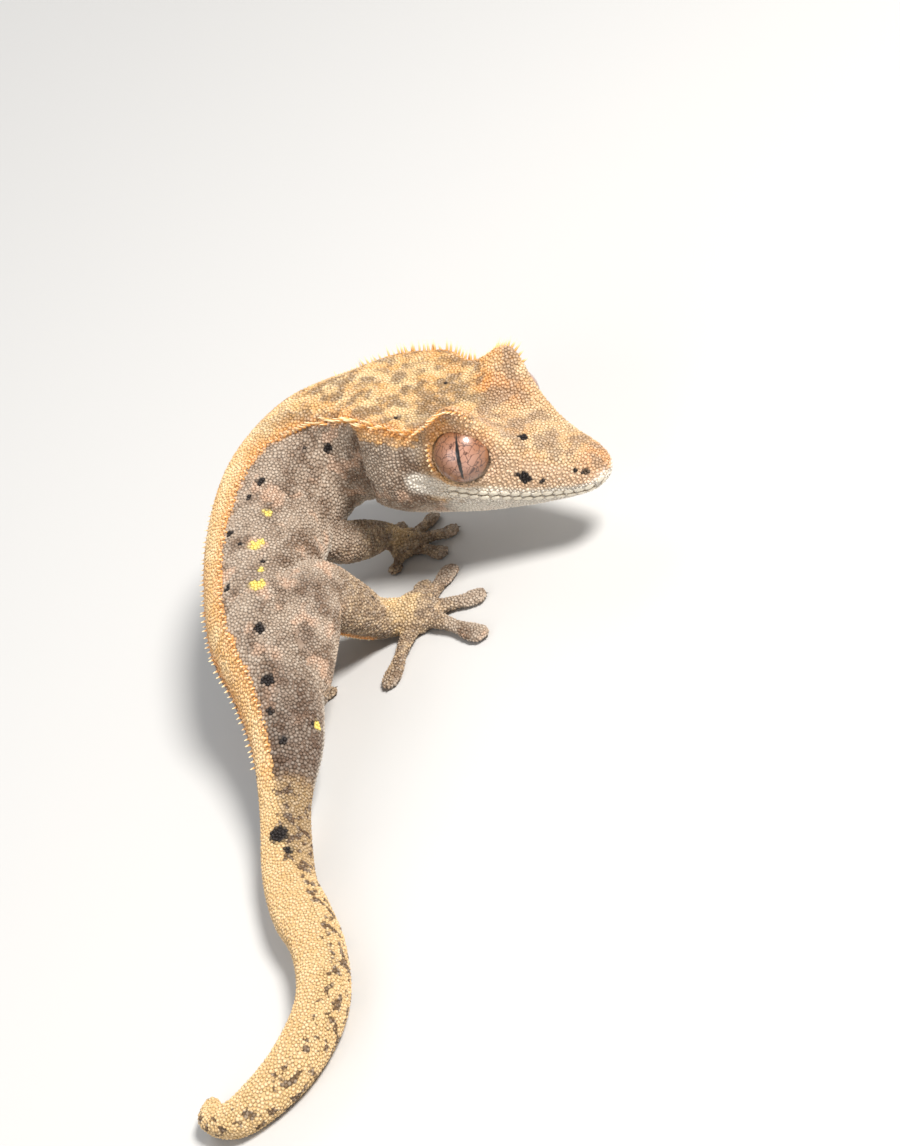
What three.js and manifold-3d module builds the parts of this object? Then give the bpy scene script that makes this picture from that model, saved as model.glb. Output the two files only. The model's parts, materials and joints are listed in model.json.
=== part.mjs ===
// Crested gecko, life size, resting on the floor in a curled pose.
// Millimetres, +Z up. The sizes below count from a point on the floor under the hips,
// and the finished model is moved so that the middle of its box is over the origin.
import * as THREE from 'three';
import Module from 'manifold-3d';
import { mergeVertices } from 'three/addons/utils/BufferGeometryUtils.js';

const wasm = await Module();
wasm.setup();

// Gap kept between touching pieces
const GAP = 0.3;

// Centre line of the body from the tip of the tail to the tip of the snout.
// x, y, z: centre. w: half width. u: height above the centre. d: depth below it.
// roll: lean of the back to the animal's left, in degrees.
// crest: angle of the crest line from the middle of the back, in degrees.
const SPINE = [
  { x: -20.9, y: -35.9, z: 1.2, w: 0.7, u: 0.6, d: 0.8, roll: 0, crest: 60 },
  { x: -21.4, y: -38.3, z: 1.6, w: 1.4, u: 1.2, d: 1.6, roll: 0, crest: 60 },
  { x: -18.6, y: -40.6, z: 2.0, w: 1.9, u: 1.8, d: 2.1, roll: 0, crest: 60 },
  { x: -12.4, y: -38.8, z: 2.5, w: 2.4, u: 2.4, d: 2.6, roll: 0, crest: 58 },
  { x: -7.6, y: -33.6, z: 2.7, w: 2.6, u: 2.6, d: 2.8, roll: 0, crest: 56 },
  { x: -5.9, y: -26.3, z: 2.8, w: 2.7, u: 2.7, d: 2.9, roll: 0, crest: 54 },
  { x: -6.2, y: -19.6, z: 2.9, w: 3.0, u: 2.7, d: 3.0, roll: 2, crest: 50 },
  { x: -6.0, y: -13.2, z: 3.2, w: 2.6, u: 2.5, d: 3.3, roll: 14, crest: 44 },
  { x: -3.4, y: -5.4, z: 4.9, w: 2.6, u: 2.7, d: 2.8, roll: 28, crest: 38 },
  { x: -0.6, y: 0.6, z: 7.4, w: 3.8, u: 3.4, d: 4.2, roll: 40, crest: 30 },
  { x: 0.9, y: 7.3, z: 9.4, w: 5.1, u: 4.2, d: 5.2, roll: 46, crest: 26 },
  { x: 2.2, y: 14.6, z: 10.8, w: 6.2, u: 5.9, d: 6.0, roll: 46, crest: 24 },
  { x: 4.5, y: 22.0, z: 11.8, w: 6.6, u: 6.8, d: 6.2, roll: 42, crest: 25 },
  { x: 7.6, y: 29.4, z: 12.4, w: 6.6, u: 7.7, d: 6.2, roll: 35, crest: 28 },
  { x: 12.2, y: 35.6, z: 12.8, w: 6.6, u: 8.8, d: 6.2, roll: 25, crest: 36 },
  { x: 18.6, y: 38.2, z: 13.4, w: 7.0, u: 9.1, d: 5.9, roll: 14, crest: 46 },
];

// Head, measured back from the tip of the snout along its own axis.
// s: distance back. ridge: height of the brow and crest ridges. square: how boxy the section is.
// The other letters are as above.
const HEAD_TIP = new THREE.Vector3(44.7, 14.1, 8.6);
const HEAD_BACK = new THREE.Vector3(25.4, 35.0, 14.0);
const HEAD_ROLL = 7;
const HEAD = [
  { s: 0.0, w: 0.9, u: 0.7, d: 0.7, ridge: 0.0, crest: 44, square: 2.0 },
  { s: 0.5, w: 1.8, u: 1.4, d: 1.5, ridge: 0.0, crest: 44, square: 2.1 },
  { s: 1.6, w: 2.7, u: 2.4, d: 2.4, ridge: 0.0, crest: 44, square: 2.2 },
  { s: 3.2, w: 3.3, u: 3.0, d: 3.1, ridge: 0.1, crest: 44, square: 2.3 },
  { s: 5.4, w: 4.0, u: 3.7, d: 3.8, ridge: 0.3, crest: 43, square: 2.4 },
  { s: 8.0, w: 4.9, u: 4.8, d: 4.5, ridge: 0.9, crest: 46, square: 2.4 },
  { s: 10.8, w: 5.8, u: 5.8, d: 5.1, ridge: 2.8, crest: 45, square: 2.4 },
  { s: 13.2, w: 6.7, u: 7.0, d: 5.5, ridge: 5.2, crest: 42, square: 2.4 },
  { s: 15.4, w: 7.3, u: 7.4, d: 5.8, ridge: 4.6, crest: 40, square: 2.4 },
  { s: 17.8, w: 7.9, u: 7.6, d: 6.0, ridge: 2.9, crest: 46, square: 2.4 },
  { s: 20.4, w: 8.5, u: 7.9, d: 6.2, ridge: 1.9, crest: 52, square: 2.4 },
  { s: 23.2, w: 9.0, u: 8.5, d: 6.2, ridge: 2.3, crest: 53, square: 2.3 },
  { s: 26.2, w: 8.7, u: 8.7, d: 6.0, ridge: 2.0, crest: 52, square: 2.3 },
  { s: 29.0, w: 7.9, u: 8.8, d: 5.9, ridge: 1.0, crest: 50, square: 2.2 },
];

// Ridge over each eye and along the crest, and the hollow between the two ridges
const RIDGE_SPREAD = 12;
const RIDGE_LEAN = 0.3;
const HOLLOW = { share: 0.22, spread: 24 };

// Mouth line on each side: from just behind the tip of the snout to its corner behind the eye
const MOUTH = { from: 0.35, to: 20.0, angle: 130, rise: 62, curve: 18, groove: 0.28, steps: 12 };

const EYE = { s: 14.7, side: 5.6, up: 4.1, radius: 3.5 };
const EYE_RIM = { tube: 0.45, out: 0.9, radius: 3.55, lean: 0.28 };
const NOSTRIL = { s: 1.5, angle: 66, radius: 0.5 };
const EAR = { s: 25.8, angle: 96, length: 1.7, width: 0.55, depth: 1.1, rim: 0.3, lip: 0.5 };

// Crest spines: spacing along the line, length and root half width
const SPINES = {
  headStep: 0.95, neckStep: 1.1, backStep: 1.9, headEnd: 19.6,
  length: 1.15, neckLength: 0.9, backLength: 0.6, root: 0.32, sink: 0.55,
};
const SPINE_FORM = { middle: 0.45, narrow: 0.62, inset: 0.12, headInset: 0.35 };
const LASHES = { from: 12.0, to: 19.0, count: 9, length: 1.35, root: 0.3, turn: 3, lean: -0.15 };

// Lengths of the body that make one node each, from the tip of the tail to the head
const LENGTHS = [
  { name: 'tail_tip', from: 0, to: 4 },
  { name: 'tail_middle', from: 4, to: 6.6 },
  { name: 'tail_base', from: 6.6, to: 8.3 },
  { name: 'torso_rear', from: 8.3, to: 11.6 },
  { name: 'torso_front', from: 11.6, to: 14.4 },
  { name: 'neck', from: 14.4, to: 16.2 },
  { name: 'head', from: 16.2, to: 29 },
];

// Legs: hip or shoulder inside the body, knee or elbow, ankle or wrist, palm, and the toe tips.
const LEGS = [
  {
    name: 'right_hind', parts: ['thigh', 'shin', 'foot'],
    root: [2.6, 6.4, 8.2], knee: [9.4, 17.2, 12.0], ankle: [14.0, 19.6, 3.3], palm: [18.2, 19.2, 1.5],
    thick: [3.9, 3.8, 2.5, 2.5], sole: 3.4,
    toes: [[20.6, 25.6], [24.6, 25.4], [26.2, 16.9], [23.8, 9.6], [11.4, 10.4]],
  },
  {
    name: 'left_hind', parts: ['thigh', 'shin', 'foot'],
    root: [-0.6, 6.2, 7.0], knee: [-1.9, 19.2, 6.9], ankle: [-0.6, 10.6, 2.5], palm: [1.8, 14.4, 1.3],
    thick: [3.1, 2.3, 2.1, 1.5], sole: 2.7,
    toes: [[-2.4, 15.4], [-0.8, 21.4], [2.8, 23.2], [6.0, 21.0], [6.2, 15.6]],
  },
  {
    name: 'right_fore', parts: ['upper_arm', 'forearm', 'hand'],
    root: [12.0, 33.2, 10.8], knee: [14.6, 31.0, 7.4], ankle: [19.4, 34.2, 3.2], palm: [21.0, 33.4, 1.4],
    thick: [3.0, 2.6, 2.1, 1.7], sole: 2.4,
    toes: [[17.9, 30.6], [24.6, 28.4], [27.4, 32.0], [26.0, 37.4], [21.4, 39.6]],
  },
  {
    name: 'left_fore', parts: ['upper_arm', 'forearm', 'hand'],
    root: [11.0, 37.6, 9.6], knee: [3.6, 43.2, 7.4], ankle: [5.4, 51.6, 2.8], palm: [6.4, 54.0, 1.4],
    thick: [3.0, 2.4, 1.9, 1.5], sole: 2.3,
    toes: [[11.8, 53.2], [12.2, 57.6], [8.0, 60.4], [2.8, 59.0], [0.2, 54.4]],
  },
];
const LIMB = { belly: 0.25, shinBelly: 0.35, knee: 0.95, shin: 0.9, ankle: 0.95, palm: 0.8, sole: 0.92 };
const TOE = {
  root: 0.95, waist: 0.72, pad: 1.12, height: 0.72, end: 0.7,
  inner: 2.15, outer: 2.35, claw: 0.4, clawRoot: [0.3, 0.28], clawTip: [0.06, 0.06],
};

// Stations on each side that a ring's direction is taken over, so that rings don't cross in a bend
const TURN_WINDOW = 0.9;
const TURN_FADE = 2.4;
const TURN_LEAST = 0.12;
const BODY_SQUARE = 2.15;
const BODY_SIDES = 20;
const HEAD_SIDES = 28;
const RINGS_PER_STATION = 3;
// Short way along the stations, to find how long one of them is
const SHORT = 0.01;
const HEAD_RINGS = 2;
const LIMB_SIDES = 9;
const TOE_SIDES = 6;

const SKIN = { color: 0x9c8f82, roughness: 0.82, metalness: 0 };
const BACK = { color: 0xe3b87a, roughness: 0.8, metalness: 0 };
const EYE_LOOK = { color: 0xb98470, roughness: 0.12, metalness: 0 };

const rad = (degrees) => THREE.MathUtils.degToRad(degrees);

// Seeded draw, so that every build gives the same spines
let seed = 20251;
function draw(low, high) {
  seed = (seed * 16807) % 2147483647;
  return low + (high - low) * (seed / 2147483647);
}

// Smooth value through a list of stations
function smooth(list, key, u) {
  const last = list.length - 1;
  const i = Math.min(Math.max(Math.floor(u), 0), last - 1);
  const t = Math.min(Math.max(u - i, 0), 1);
  const p0 = list[Math.max(i - 1, 0)][key];
  const p1 = list[i][key];
  const p2 = list[i + 1][key];
  const p3 = list[Math.min(i + 2, last)][key];
  const a = 2 * p1;
  const b = p2 - p0;
  const c = 2 * p0 - 5 * p1 + 4 * p2 - p3;
  const e = 3 * p1 - p0 - 3 * p2 + p3;
  return 0.5 * (a + b * t + c * t * t + e * t * t * t);
}

// The head's stations follow the spine's, so that one list runs from tail to snout
const headAxis = HEAD_TIP.clone().sub(HEAD_BACK).normalize();
const headStations = [...HEAD].reverse().map((h) => {
  const p = HEAD_TIP.clone().addScaledVector(headAxis, -h.s);
  return { ...h, x: p.x, y: p.y, z: p.z, roll: HEAD_ROLL };
});
const STATIONS = SPINE.map((s) => ({ ...s, ridge: 0, square: BODY_SQUARE })).concat(headStations);
const HEAD_START = SPINE.length;
const LAST = STATIONS.length - 1;
const stationOfHead = (s) => {
  for (let i = HEAD_START; i < LAST; i += 1) {
    const here = HEAD[LAST - i].s;
    const next = HEAD[LAST - i - 1].s;
    if (s <= here && s >= next) {
      return i + (here - s) / (here - next);
    }
  }
  return LAST;
};

// Frame at a station: centre, direction of travel, back and right side
function frameAt(u) {
  const at = (v) => new THREE.Vector3(...['x', 'y', 'z'].map((key) => smooth(STATIONS, key, v)));
  const centre = at(u);
  const fade = TURN_WINDOW * (HEAD_START + TURN_FADE - u);
  const step = THREE.MathUtils.clamp(fade, TURN_LEAST, TURN_WINDOW);
  const ahead = at(Math.min(u + step, LAST)).sub(at(Math.max(u - step, 0))).normalize();
  const right = new THREE.Vector3().crossVectors(ahead, new THREE.Vector3(0, 0, 1)).normalize();
  const up = new THREE.Vector3().crossVectors(right, ahead).normalize();
  const roll = rad(smooth(STATIONS, 'roll', u));
  const back = up.clone().multiplyScalar(Math.cos(roll)).addScaledVector(right, -Math.sin(roll));
  const side = right.clone().multiplyScalar(Math.cos(roll)).addScaledVector(up, Math.sin(roll));
  return { centre, ahead, back, side };
}

// Distance from the middle of one ridge, as a smooth bump from 0 to 1
const bump = (angle, middle, spread) => Math.exp(-((angle - middle) ** 2) / (2 * spread * spread));

// Point of the body's surface. angle: degrees from the middle of the back, positive to the right.
function surface(u, angle, swell = 0) {
  const f = frameAt(u);
  const n = 2 / smooth(STATIONS, 'square', u);
  const a = rad(angle);
  const s = Math.sin(a);
  const c = Math.cos(a);
  const w = smooth(STATIONS, 'w', u);
  const h = c > 0 ? smooth(STATIONS, 'u', u) : smooth(STATIONS, 'd', u);
  let x = Math.sign(s) * Math.abs(s) ** n * w;
  let y = Math.sign(c) * Math.abs(c) ** n * h;
  const ridge = smooth(STATIONS, 'ridge', u);
  const lift = ridge * bump(Math.abs(angle), smooth(STATIONS, 'crest', u), RIDGE_SPREAD);
  const hollow = HOLLOW.share * ridge * bump(Math.abs(angle), 0, HOLLOW.spread);
  y += lift - hollow;
  x += Math.sign(s) * RIDGE_LEAN * lift;
  const grow = 1 + swell / Math.max(Math.hypot(x, y), 0.6);
  x *= grow;
  y *= grow;
  return f.centre.clone().addScaledVector(f.side, x).addScaledVector(f.back, y);
}

function normalAt(u, angle) {
  const du = surface(Math.min(u + 0.05, LAST), angle).sub(surface(u - 0.05, angle));
  const da = surface(u, angle + 2).sub(surface(u, angle - 2));
  const n = new THREE.Vector3().crossVectors(da, du).normalize();
  const out = surface(u, angle).sub(frameAt(u).centre);
  return n.dot(out) < 0 ? n.negate() : n;
}

// Closed skin over rings of equal count, with a fan at each end
function skinOver(rings) {
  const count = rings[0].length;
  const points = rings.flat();
  const faces = [];
  for (let i = 0; i < rings.length - 1; i += 1) {
    for (let j = 0; j < count; j += 1) {
      const k = (j + 1) % count;
      const a = i * count + j;
      const b = i * count + k;
      const c = a + count;
      const d = b + count;
      faces.push(a, b, c, b, d, c);
    }
  }
  const capEnd = (ring, start, flip) => {
    const centre = new THREE.Vector3();
    ring.forEach((p) => centre.add(p));
    points.push(centre.divideScalar(count));
    for (let j = 0; j < count; j += 1) {
      const k = (j + 1) % count;
      faces.push(points.length - 1, start + (flip ? j : k), start + (flip ? k : j));
    }
  };
  capEnd(rings[0], 0, false);
  capEnd(rings[rings.length - 1], (rings.length - 1) * count, true);
  return closedSolid(points, faces);
}

// Manifold solid from points and faces, turned outwards if it is inside out
function closedSolid(points, faces) {
  let volume = 0;
  for (let i = 0; i < faces.length; i += 3) {
    const [a, b, c] = [points[faces[i]], points[faces[i + 1]], points[faces[i + 2]]];
    volume += a.dot(new THREE.Vector3().crossVectors(b, c));
  }
  const order = volume < 0 ? [0, 2, 1] : [0, 1, 2];
  const triVerts = new Uint32Array(faces.length);
  for (let i = 0; i < faces.length; i += 3) {
    order.forEach((o, k) => { triVerts[i + k] = faces[i + o]; });
  }
  const vertProperties = new Float32Array(points.flatMap((p) => [p.x, p.y, p.z]));
  return new wasm.Manifold(new wasm.Mesh({ numProp: 3, vertProperties, triVerts }));
}

function solidFrom(geometry) {
  const bare = geometry.clone();
  bare.deleteAttribute('normal');
  bare.deleteAttribute('uv');
  const merged = mergeVertices(bare, 1e-4);
  const position = merged.attributes.position;
  const points = [];
  for (let i = 0; i < position.count; i += 1) {
    points.push(new THREE.Vector3().fromBufferAttribute(position, i));
  }
  return closedSolid(points, Array.from(merged.index.array));
}

// Largest closed piece of a solid
function largest(solid) {
  return solid.decompose().reduce((best, piece) => (piece.volume() > best.volume() ? piece : best));
}

function meshOf(name, solid, look) {
  const data = largest(solid).getMesh();
  const geometry = new THREE.BufferGeometry();
  const position = new Float32Array(data.numVert * 3);
  for (let i = 0; i < data.numVert; i += 1) {
    for (let k = 0; k < 3; k += 1) {
      position[i * 3 + k] = data.vertProperties[i * data.numProp + k];
    }
  }
  geometry.setAttribute('position', new THREE.BufferAttribute(position, 3));
  geometry.setIndex(new THREE.BufferAttribute(new Uint32Array(data.triVerts), 1));
  geometry.computeVertexNormals();
  const mesh = new THREE.Mesh(geometry, new THREE.MeshStandardMaterial(look));
  mesh.name = name;
  return mesh;
}

// Everything above the floor
const floorBlock = solidFrom(new THREE.BoxGeometry(200, 200, 60).translate(0, 0, 30));
const aboveFloor = (solid) => solid.intersect(floorBlock);

const bodyAngles = Array.from({ length: BODY_SIDES }, (_, i) => (i * 360) / BODY_SIDES - 180);
const headAngles = Array.from({ length: HEAD_SIDES }, (_, i) => (i * 360) / HEAD_SIDES - 180);

// Solid of one length of the body between two stations
function bodyLength(from, to, angles, density, swell = 0) {
  const count = Math.max(2, Math.round((to - from) * density));
  const rings = [];
  for (let i = 0; i <= count; i += 1) {
    const u = from + ((to - from) * i) / count;
    rings.push(angles.map((angle) => surface(u, angle, swell)));
  }
  return skinOver(rings);
}

// Three-sided spine with its root sunk in the surface
function spine(u, angle, length, root, lean) {
  const foot = surface(u, angle);
  const out = normalAt(u, angle);
  const f = frameAt(u);
  const across = new THREE.Vector3().crossVectors(out, f.ahead).normalize();
  const along = new THREE.Vector3().crossVectors(across, out).normalize();
  const place = (height, size, turn) => foot.clone()
    .addScaledVector(out, height)
    .addScaledVector(along, -lean * Math.max(height, 0) + Math.cos(turn) * size)
    .addScaledVector(across, Math.sin(turn) * size);
  const corners = [0, 120, 240].map(rad);
  const points = [];
  corners.forEach((turn) => points.push(place(-SPINES.sink, root, turn)));
  corners.forEach((turn) => points.push(place(length * SPINE_FORM.middle, root * SPINE_FORM.narrow, turn)));
  points.push(place(length, 0, 0));
  const faces = [0, 2, 1];
  [0, 1, 2].forEach((i) => {
    const j = (i + 1) % 3;
    faces.push(i, j, i + 3, j, j + 3, i + 3, i + 3, j + 3, 6);
  });
  return closedSolid(points, faces);
}

// Crest spines of both sides between two stations
function crest(from, to, step, length) {
  const spines = [];
  [-1, 1].forEach((side) => {
    let u = from;
    while (u < to) {
      const angle = smooth(STATIONS, 'crest', u) * side;
      spines.push(spine(u, angle, length * draw(0.75, 1.2), SPINES.root * draw(0.85, 1.1), draw(0.1, 0.4)));
      const gap = surface(Math.min(u + 0.1, LAST), angle).distanceTo(surface(u, angle));
      u += (0.1 * step * draw(0.85, 1.15)) / gap;
    }
  });
  return spines;
}

const joined = (solids) => solids.reduce((sum, solid) => sum.add(solid));

// Closed tube through points, each with its half width and half height
function tube(points, sizes, sides) {
  const up = new THREE.Vector3(0, 0, 1);
  const rings = points.map((p, i) => {
    const before = points[Math.max(i - 1, 0)];
    const after = points[Math.min(i + 1, points.length - 1)];
    const ahead = after.clone().sub(before).normalize();
    const across = new THREE.Vector3().crossVectors(ahead, up);
    if (across.length() < 0.05) {
      across.set(1, 0, 0);
    }
    across.normalize();
    const lift = new THREE.Vector3().crossVectors(across, ahead).normalize();
    const [w, h] = sizes[i];
    return Array.from({ length: sides }, (_, k) => {
      const a = (k * 2 * Math.PI) / sides;
      return p.clone().addScaledVector(across, Math.cos(a) * w).addScaledVector(lift, Math.sin(a) * h);
    });
  });
  return skinOver(rings);
}

// One segment of a leg: a tapered tube with rounded muscle in its middle
function limb(from, to, thickFrom, thickTo, belly) {
  const steps = 4;
  const points = [];
  const sizes = [];
  for (let i = 0; i <= steps; i += 1) {
    const t = i / steps;
    const r = thickFrom + (thickTo - thickFrom) * t + belly * Math.sin(Math.PI * t);
    points.push(from.clone().lerp(to, t));
    sizes.push([r, r]);
  }
  return tube(points, sizes, LIMB_SIDES);
}

function ball(centre, radius, sides = 9, rows = 6) {
  return solidFrom(new THREE.SphereGeometry(radius, sides, rows).translate(centre.x, centre.y, centre.z));
}

// One toe: narrow waist, broad flat pad and a small claw
function toe(palm, tip, size) {
  const root = palm.clone();
  root.z = TOE.height * size;
  const end = new THREE.Vector3(tip[0], tip[1], TOE.height * size * TOE.end);
  const stops = [
    [0.1, TOE.root, TOE.height * 1.1],
    [0.56, TOE.waist, TOE.height * 0.95],
    [0.78, TOE.pad, TOE.height * 0.8],
    [0.93, TOE.pad * 0.9, TOE.height * 0.65],
    [1.0, TOE.pad * 0.4, TOE.height * 0.35],
  ];
  const points = stops.map(([t]) => root.clone().lerp(end, t));
  const sizes = stops.map(([, w, h]) => [w * size, h * size]);
  const pad = tube(points, sizes, TOE_SIDES);
  const ahead = end.clone().sub(root).normalize();
  const nail = [0, 1].map((t) => end.clone().addScaledVector(ahead, TOE.claw * (2.2 * t - 0.8)));
  return pad.add(tube(nail, [TOE.clawRoot, TOE.clawTip], 4));
}

const swollen = bodyLength(0.02, LAST - 0.02, bodyAngles, RINGS_PER_STATION, GAP);

function legSolids(leg) {
  const joints = [leg.root, leg.knee, leg.ankle, leg.palm];
  const [root, knee, ankle, palm] = joints.map((p) => new THREE.Vector3(...p));
  const [t0, t1, t2, t3] = leg.thick;
  const upperOf = (gap) => limb(root, knee, t0 + gap, t1 * LIMB.knee + gap, LIMB.belly).add(ball(knee, t1 + gap));
  const wristOf = (gap) => {
    const sole = new THREE.SphereGeometry(1, 10, 5)
      .scale(leg.sole + gap, leg.sole * LIMB.sole + gap, t3 * LIMB.ankle + gap)
      .translate(palm.x, palm.y, palm.z);
    return ball(ankle, t3 + gap).add(limb(ankle, palm, t3 + gap, t3 * LIMB.palm + gap, 0)).add(solidFrom(sole));
  };
  const lower = limb(knee, ankle, t1 * LIMB.shin, t3 * LIMB.ankle, LIMB.shinBelly)
    .subtract(upperOf(GAP)).subtract(wristOf(GAP));
  const toes = leg.toes.map((tip, i) => toe(palm, tip, t2 / (i === 0 || i === 4 ? TOE.outer : TOE.inner)));
  const foot = joined([wristOf(0), ...toes]);
  return [upperOf(0), lower, foot].map((solid) => aboveFloor(solid.subtract(swollen)));
}

// Centre of one eye, and a point moved out from it
function eyeCentre(side) {
  const f = frameAt(stationOfHead(EYE.s));
  return f.centre.clone().addScaledVector(f.side, EYE.side * side).addScaledVector(f.back, EYE.up);
}

const socketOf = (side) => ball(eyeCentre(side), EYE.radius + GAP, 16, 10);

// Rolled rim round one eye
function rimOf(side) {
  const f = frameAt(stationOfHead(EYE.s));
  const out = f.side.clone().multiplyScalar(side)
    .addScaledVector(f.back, EYE_RIM.lean).addScaledVector(f.ahead, EYE_RIM.lean).normalize();
  const at = eyeCentre(side).addScaledVector(out, EYE_RIM.out);
  const ring = new THREE.TorusGeometry(EYE_RIM.radius, EYE_RIM.tube, 5, 16);
  ring.applyQuaternion(new THREE.Quaternion().setFromUnitVectors(new THREE.Vector3(0, 0, 1), out));
  return solidFrom(ring.translate(at.x, at.y, at.z));
}

// Groove of the mouth on one side
function mouthOf(side) {
  const line = Array.from({ length: MOUTH.steps + 1 }, (_, i) => {
    const t = i / MOUTH.steps;
    const angle = MOUTH.angle - MOUTH.rise * t + MOUTH.curve * t * t;
    return surface(stationOfHead(MOUTH.from + (MOUTH.to - MOUTH.from) * t), angle * side);
  });
  return tube(line, line.map(() => [MOUTH.groove, MOUTH.groove]), 4);
}

// Flat oval at the ear, grown by a rim
function earOval(side, rim, depth) {
  const at = surface(stationOfHead(EAR.s), EAR.angle * side);
  const out = normalAt(stationOfHead(EAR.s), EAR.angle * side);
  const oval = new THREE.SphereGeometry(1, 10, 6).scale(EAR.width + rim, EAR.length + rim, depth);
  oval.applyQuaternion(new THREE.Quaternion().setFromUnitVectors(new THREE.Vector3(0, 0, 1), out));
  return solidFrom(oval.translate(at.x, at.y, at.z));
}

// Long scales along the ridge over one eye
function lashesOf(side) {
  return Array.from({ length: LASHES.count }, (_, k) => {
    const t = k / (LASHES.count - 1);
    const u = stationOfHead(LASHES.from + (LASHES.to - LASHES.from) * t);
    const length = LASHES.length * draw(0.75, 1.15) * (0.6 + 0.4 * Math.sin(Math.PI * t));
    const angle = smooth(STATIONS, 'crest', u) + LASHES.turn;
    return spine(u, angle * side, length, LASHES.root, LASHES.lean);
  });
}

// Head with its sockets, mouth, nostrils, ears and crest
function headSolid(from, to) {
  let solid = bodyLength(from, to, headAngles, HEAD_RINGS);
  [-1, 1].forEach((side) => {
    const nostril = surface(stationOfHead(NOSTRIL.s), NOSTRIL.angle * side);
    solid = solid.add(rimOf(side)).add(earOval(side, EAR.rim, EAR.lip)).add(joined(lashesOf(side)));
    solid = solid.subtract(socketOf(side)).subtract(ball(nostril, NOSTRIL.radius, 8, 5));
    solid = solid.subtract(mouthOf(side)).subtract(earOval(side, 0, EAR.depth));
  });
  const start = from + SPINE_FORM.headInset;
  return solid.add(joined(crest(start, stationOfHead(SPINES.headEnd), SPINES.headStep, SPINES.length)));
}

function eyeMesh(name, side) {
  return meshOf(name, ball(eyeCentre(side), EYE.radius, 16, 10), EYE_LOOK);
}

const gecko = new THREE.Group();
const model = new THREE.Group();
gecko.add(model);

LENGTHS.forEach(({ name, from, to }) => {
  const reach = frameAt(from).centre.distanceTo(frameAt(from + SHORT).centre) / SHORT;
  const first = from === 0 ? 0 : from + GAP / reach;
  if (name === 'head') {
    model.add(meshOf(name, headSolid(first, to), BACK));
    return;
  }
  let solid = bodyLength(first, to, bodyAngles, RINGS_PER_STATION);
  if (!name.startsWith('tail')) {
    const onNeck = name === 'neck';
    const step = onNeck ? SPINES.neckStep : SPINES.backStep;
    const length = onNeck ? SPINES.neckLength : SPINES.backLength;
    solid = solid.add(joined(crest(first + SPINE_FORM.inset, to - SPINE_FORM.inset, step, length)));
  }
  model.add(meshOf(name, aboveFloor(solid), name.startsWith('tail') ? BACK : SKIN));
});

LEGS.forEach((leg) => {
  legSolids(leg).forEach((solid, i) => model.add(meshOf(`${leg.name}_${leg.parts[i]}`, solid, SKIN)));
});

model.add(eyeMesh('right_eye', 1));
model.add(eyeMesh('left_eye', -1));

const middle = new THREE.Box3().setFromObject(model).getCenter(new THREE.Vector3());
model.position.set(-middle.x, -middle.y, 0);

export default gecko;
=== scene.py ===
"""Crested gecko: skin, scales, crest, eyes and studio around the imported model."""
import json
import logging
import math
from dataclasses import dataclass, field
from enum import Enum

import bmesh
import bpy
import numpy as np
from mathutils import Matrix, Vector
from mathutils.kdtree import KDTree

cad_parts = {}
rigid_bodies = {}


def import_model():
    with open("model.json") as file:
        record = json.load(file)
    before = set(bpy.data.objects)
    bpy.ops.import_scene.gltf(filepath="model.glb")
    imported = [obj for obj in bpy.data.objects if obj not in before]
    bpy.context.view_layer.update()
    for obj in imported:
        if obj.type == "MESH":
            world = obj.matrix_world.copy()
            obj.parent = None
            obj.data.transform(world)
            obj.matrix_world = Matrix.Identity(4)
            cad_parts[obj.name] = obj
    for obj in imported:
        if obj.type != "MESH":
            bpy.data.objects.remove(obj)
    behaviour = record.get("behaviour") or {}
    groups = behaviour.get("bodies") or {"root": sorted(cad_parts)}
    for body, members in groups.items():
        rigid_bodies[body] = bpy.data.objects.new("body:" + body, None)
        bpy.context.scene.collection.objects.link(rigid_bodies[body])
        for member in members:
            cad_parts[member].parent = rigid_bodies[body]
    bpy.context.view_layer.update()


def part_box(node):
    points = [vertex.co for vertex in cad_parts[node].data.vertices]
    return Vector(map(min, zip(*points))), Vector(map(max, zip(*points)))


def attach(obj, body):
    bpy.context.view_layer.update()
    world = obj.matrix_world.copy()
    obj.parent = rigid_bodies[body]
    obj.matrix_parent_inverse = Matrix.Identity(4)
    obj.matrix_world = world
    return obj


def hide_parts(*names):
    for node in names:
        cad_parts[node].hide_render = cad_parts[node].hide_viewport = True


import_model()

log = logging.getLogger("gecko")
MM = 0.001
BODY = "root"


class Zone(Enum):
    """Parts of the skin that carry scales of one size."""

    TAIL = "tail"
    TRUNK = "trunk"
    HEAD = "head"
    LIMB = "limb"


class Side(Enum):
    """Side of the animal."""

    RIGHT = 1
    LEFT = -1


@dataclass(frozen=True)
class Station:
    """One cross-section of the body, in millimetres and degrees."""

    x: float
    y: float
    z: float
    w: float
    u: float
    d: float
    roll: float
    crest: float
    ridge: float = 0.0
    square: float = 2.15


@dataclass(frozen=True)
class HeadStation:
    """One cross-section of the head, at a distance back from the snout."""

    s: float
    w: float
    u: float
    d: float
    ridge: float
    square: float
    crest: float


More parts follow.
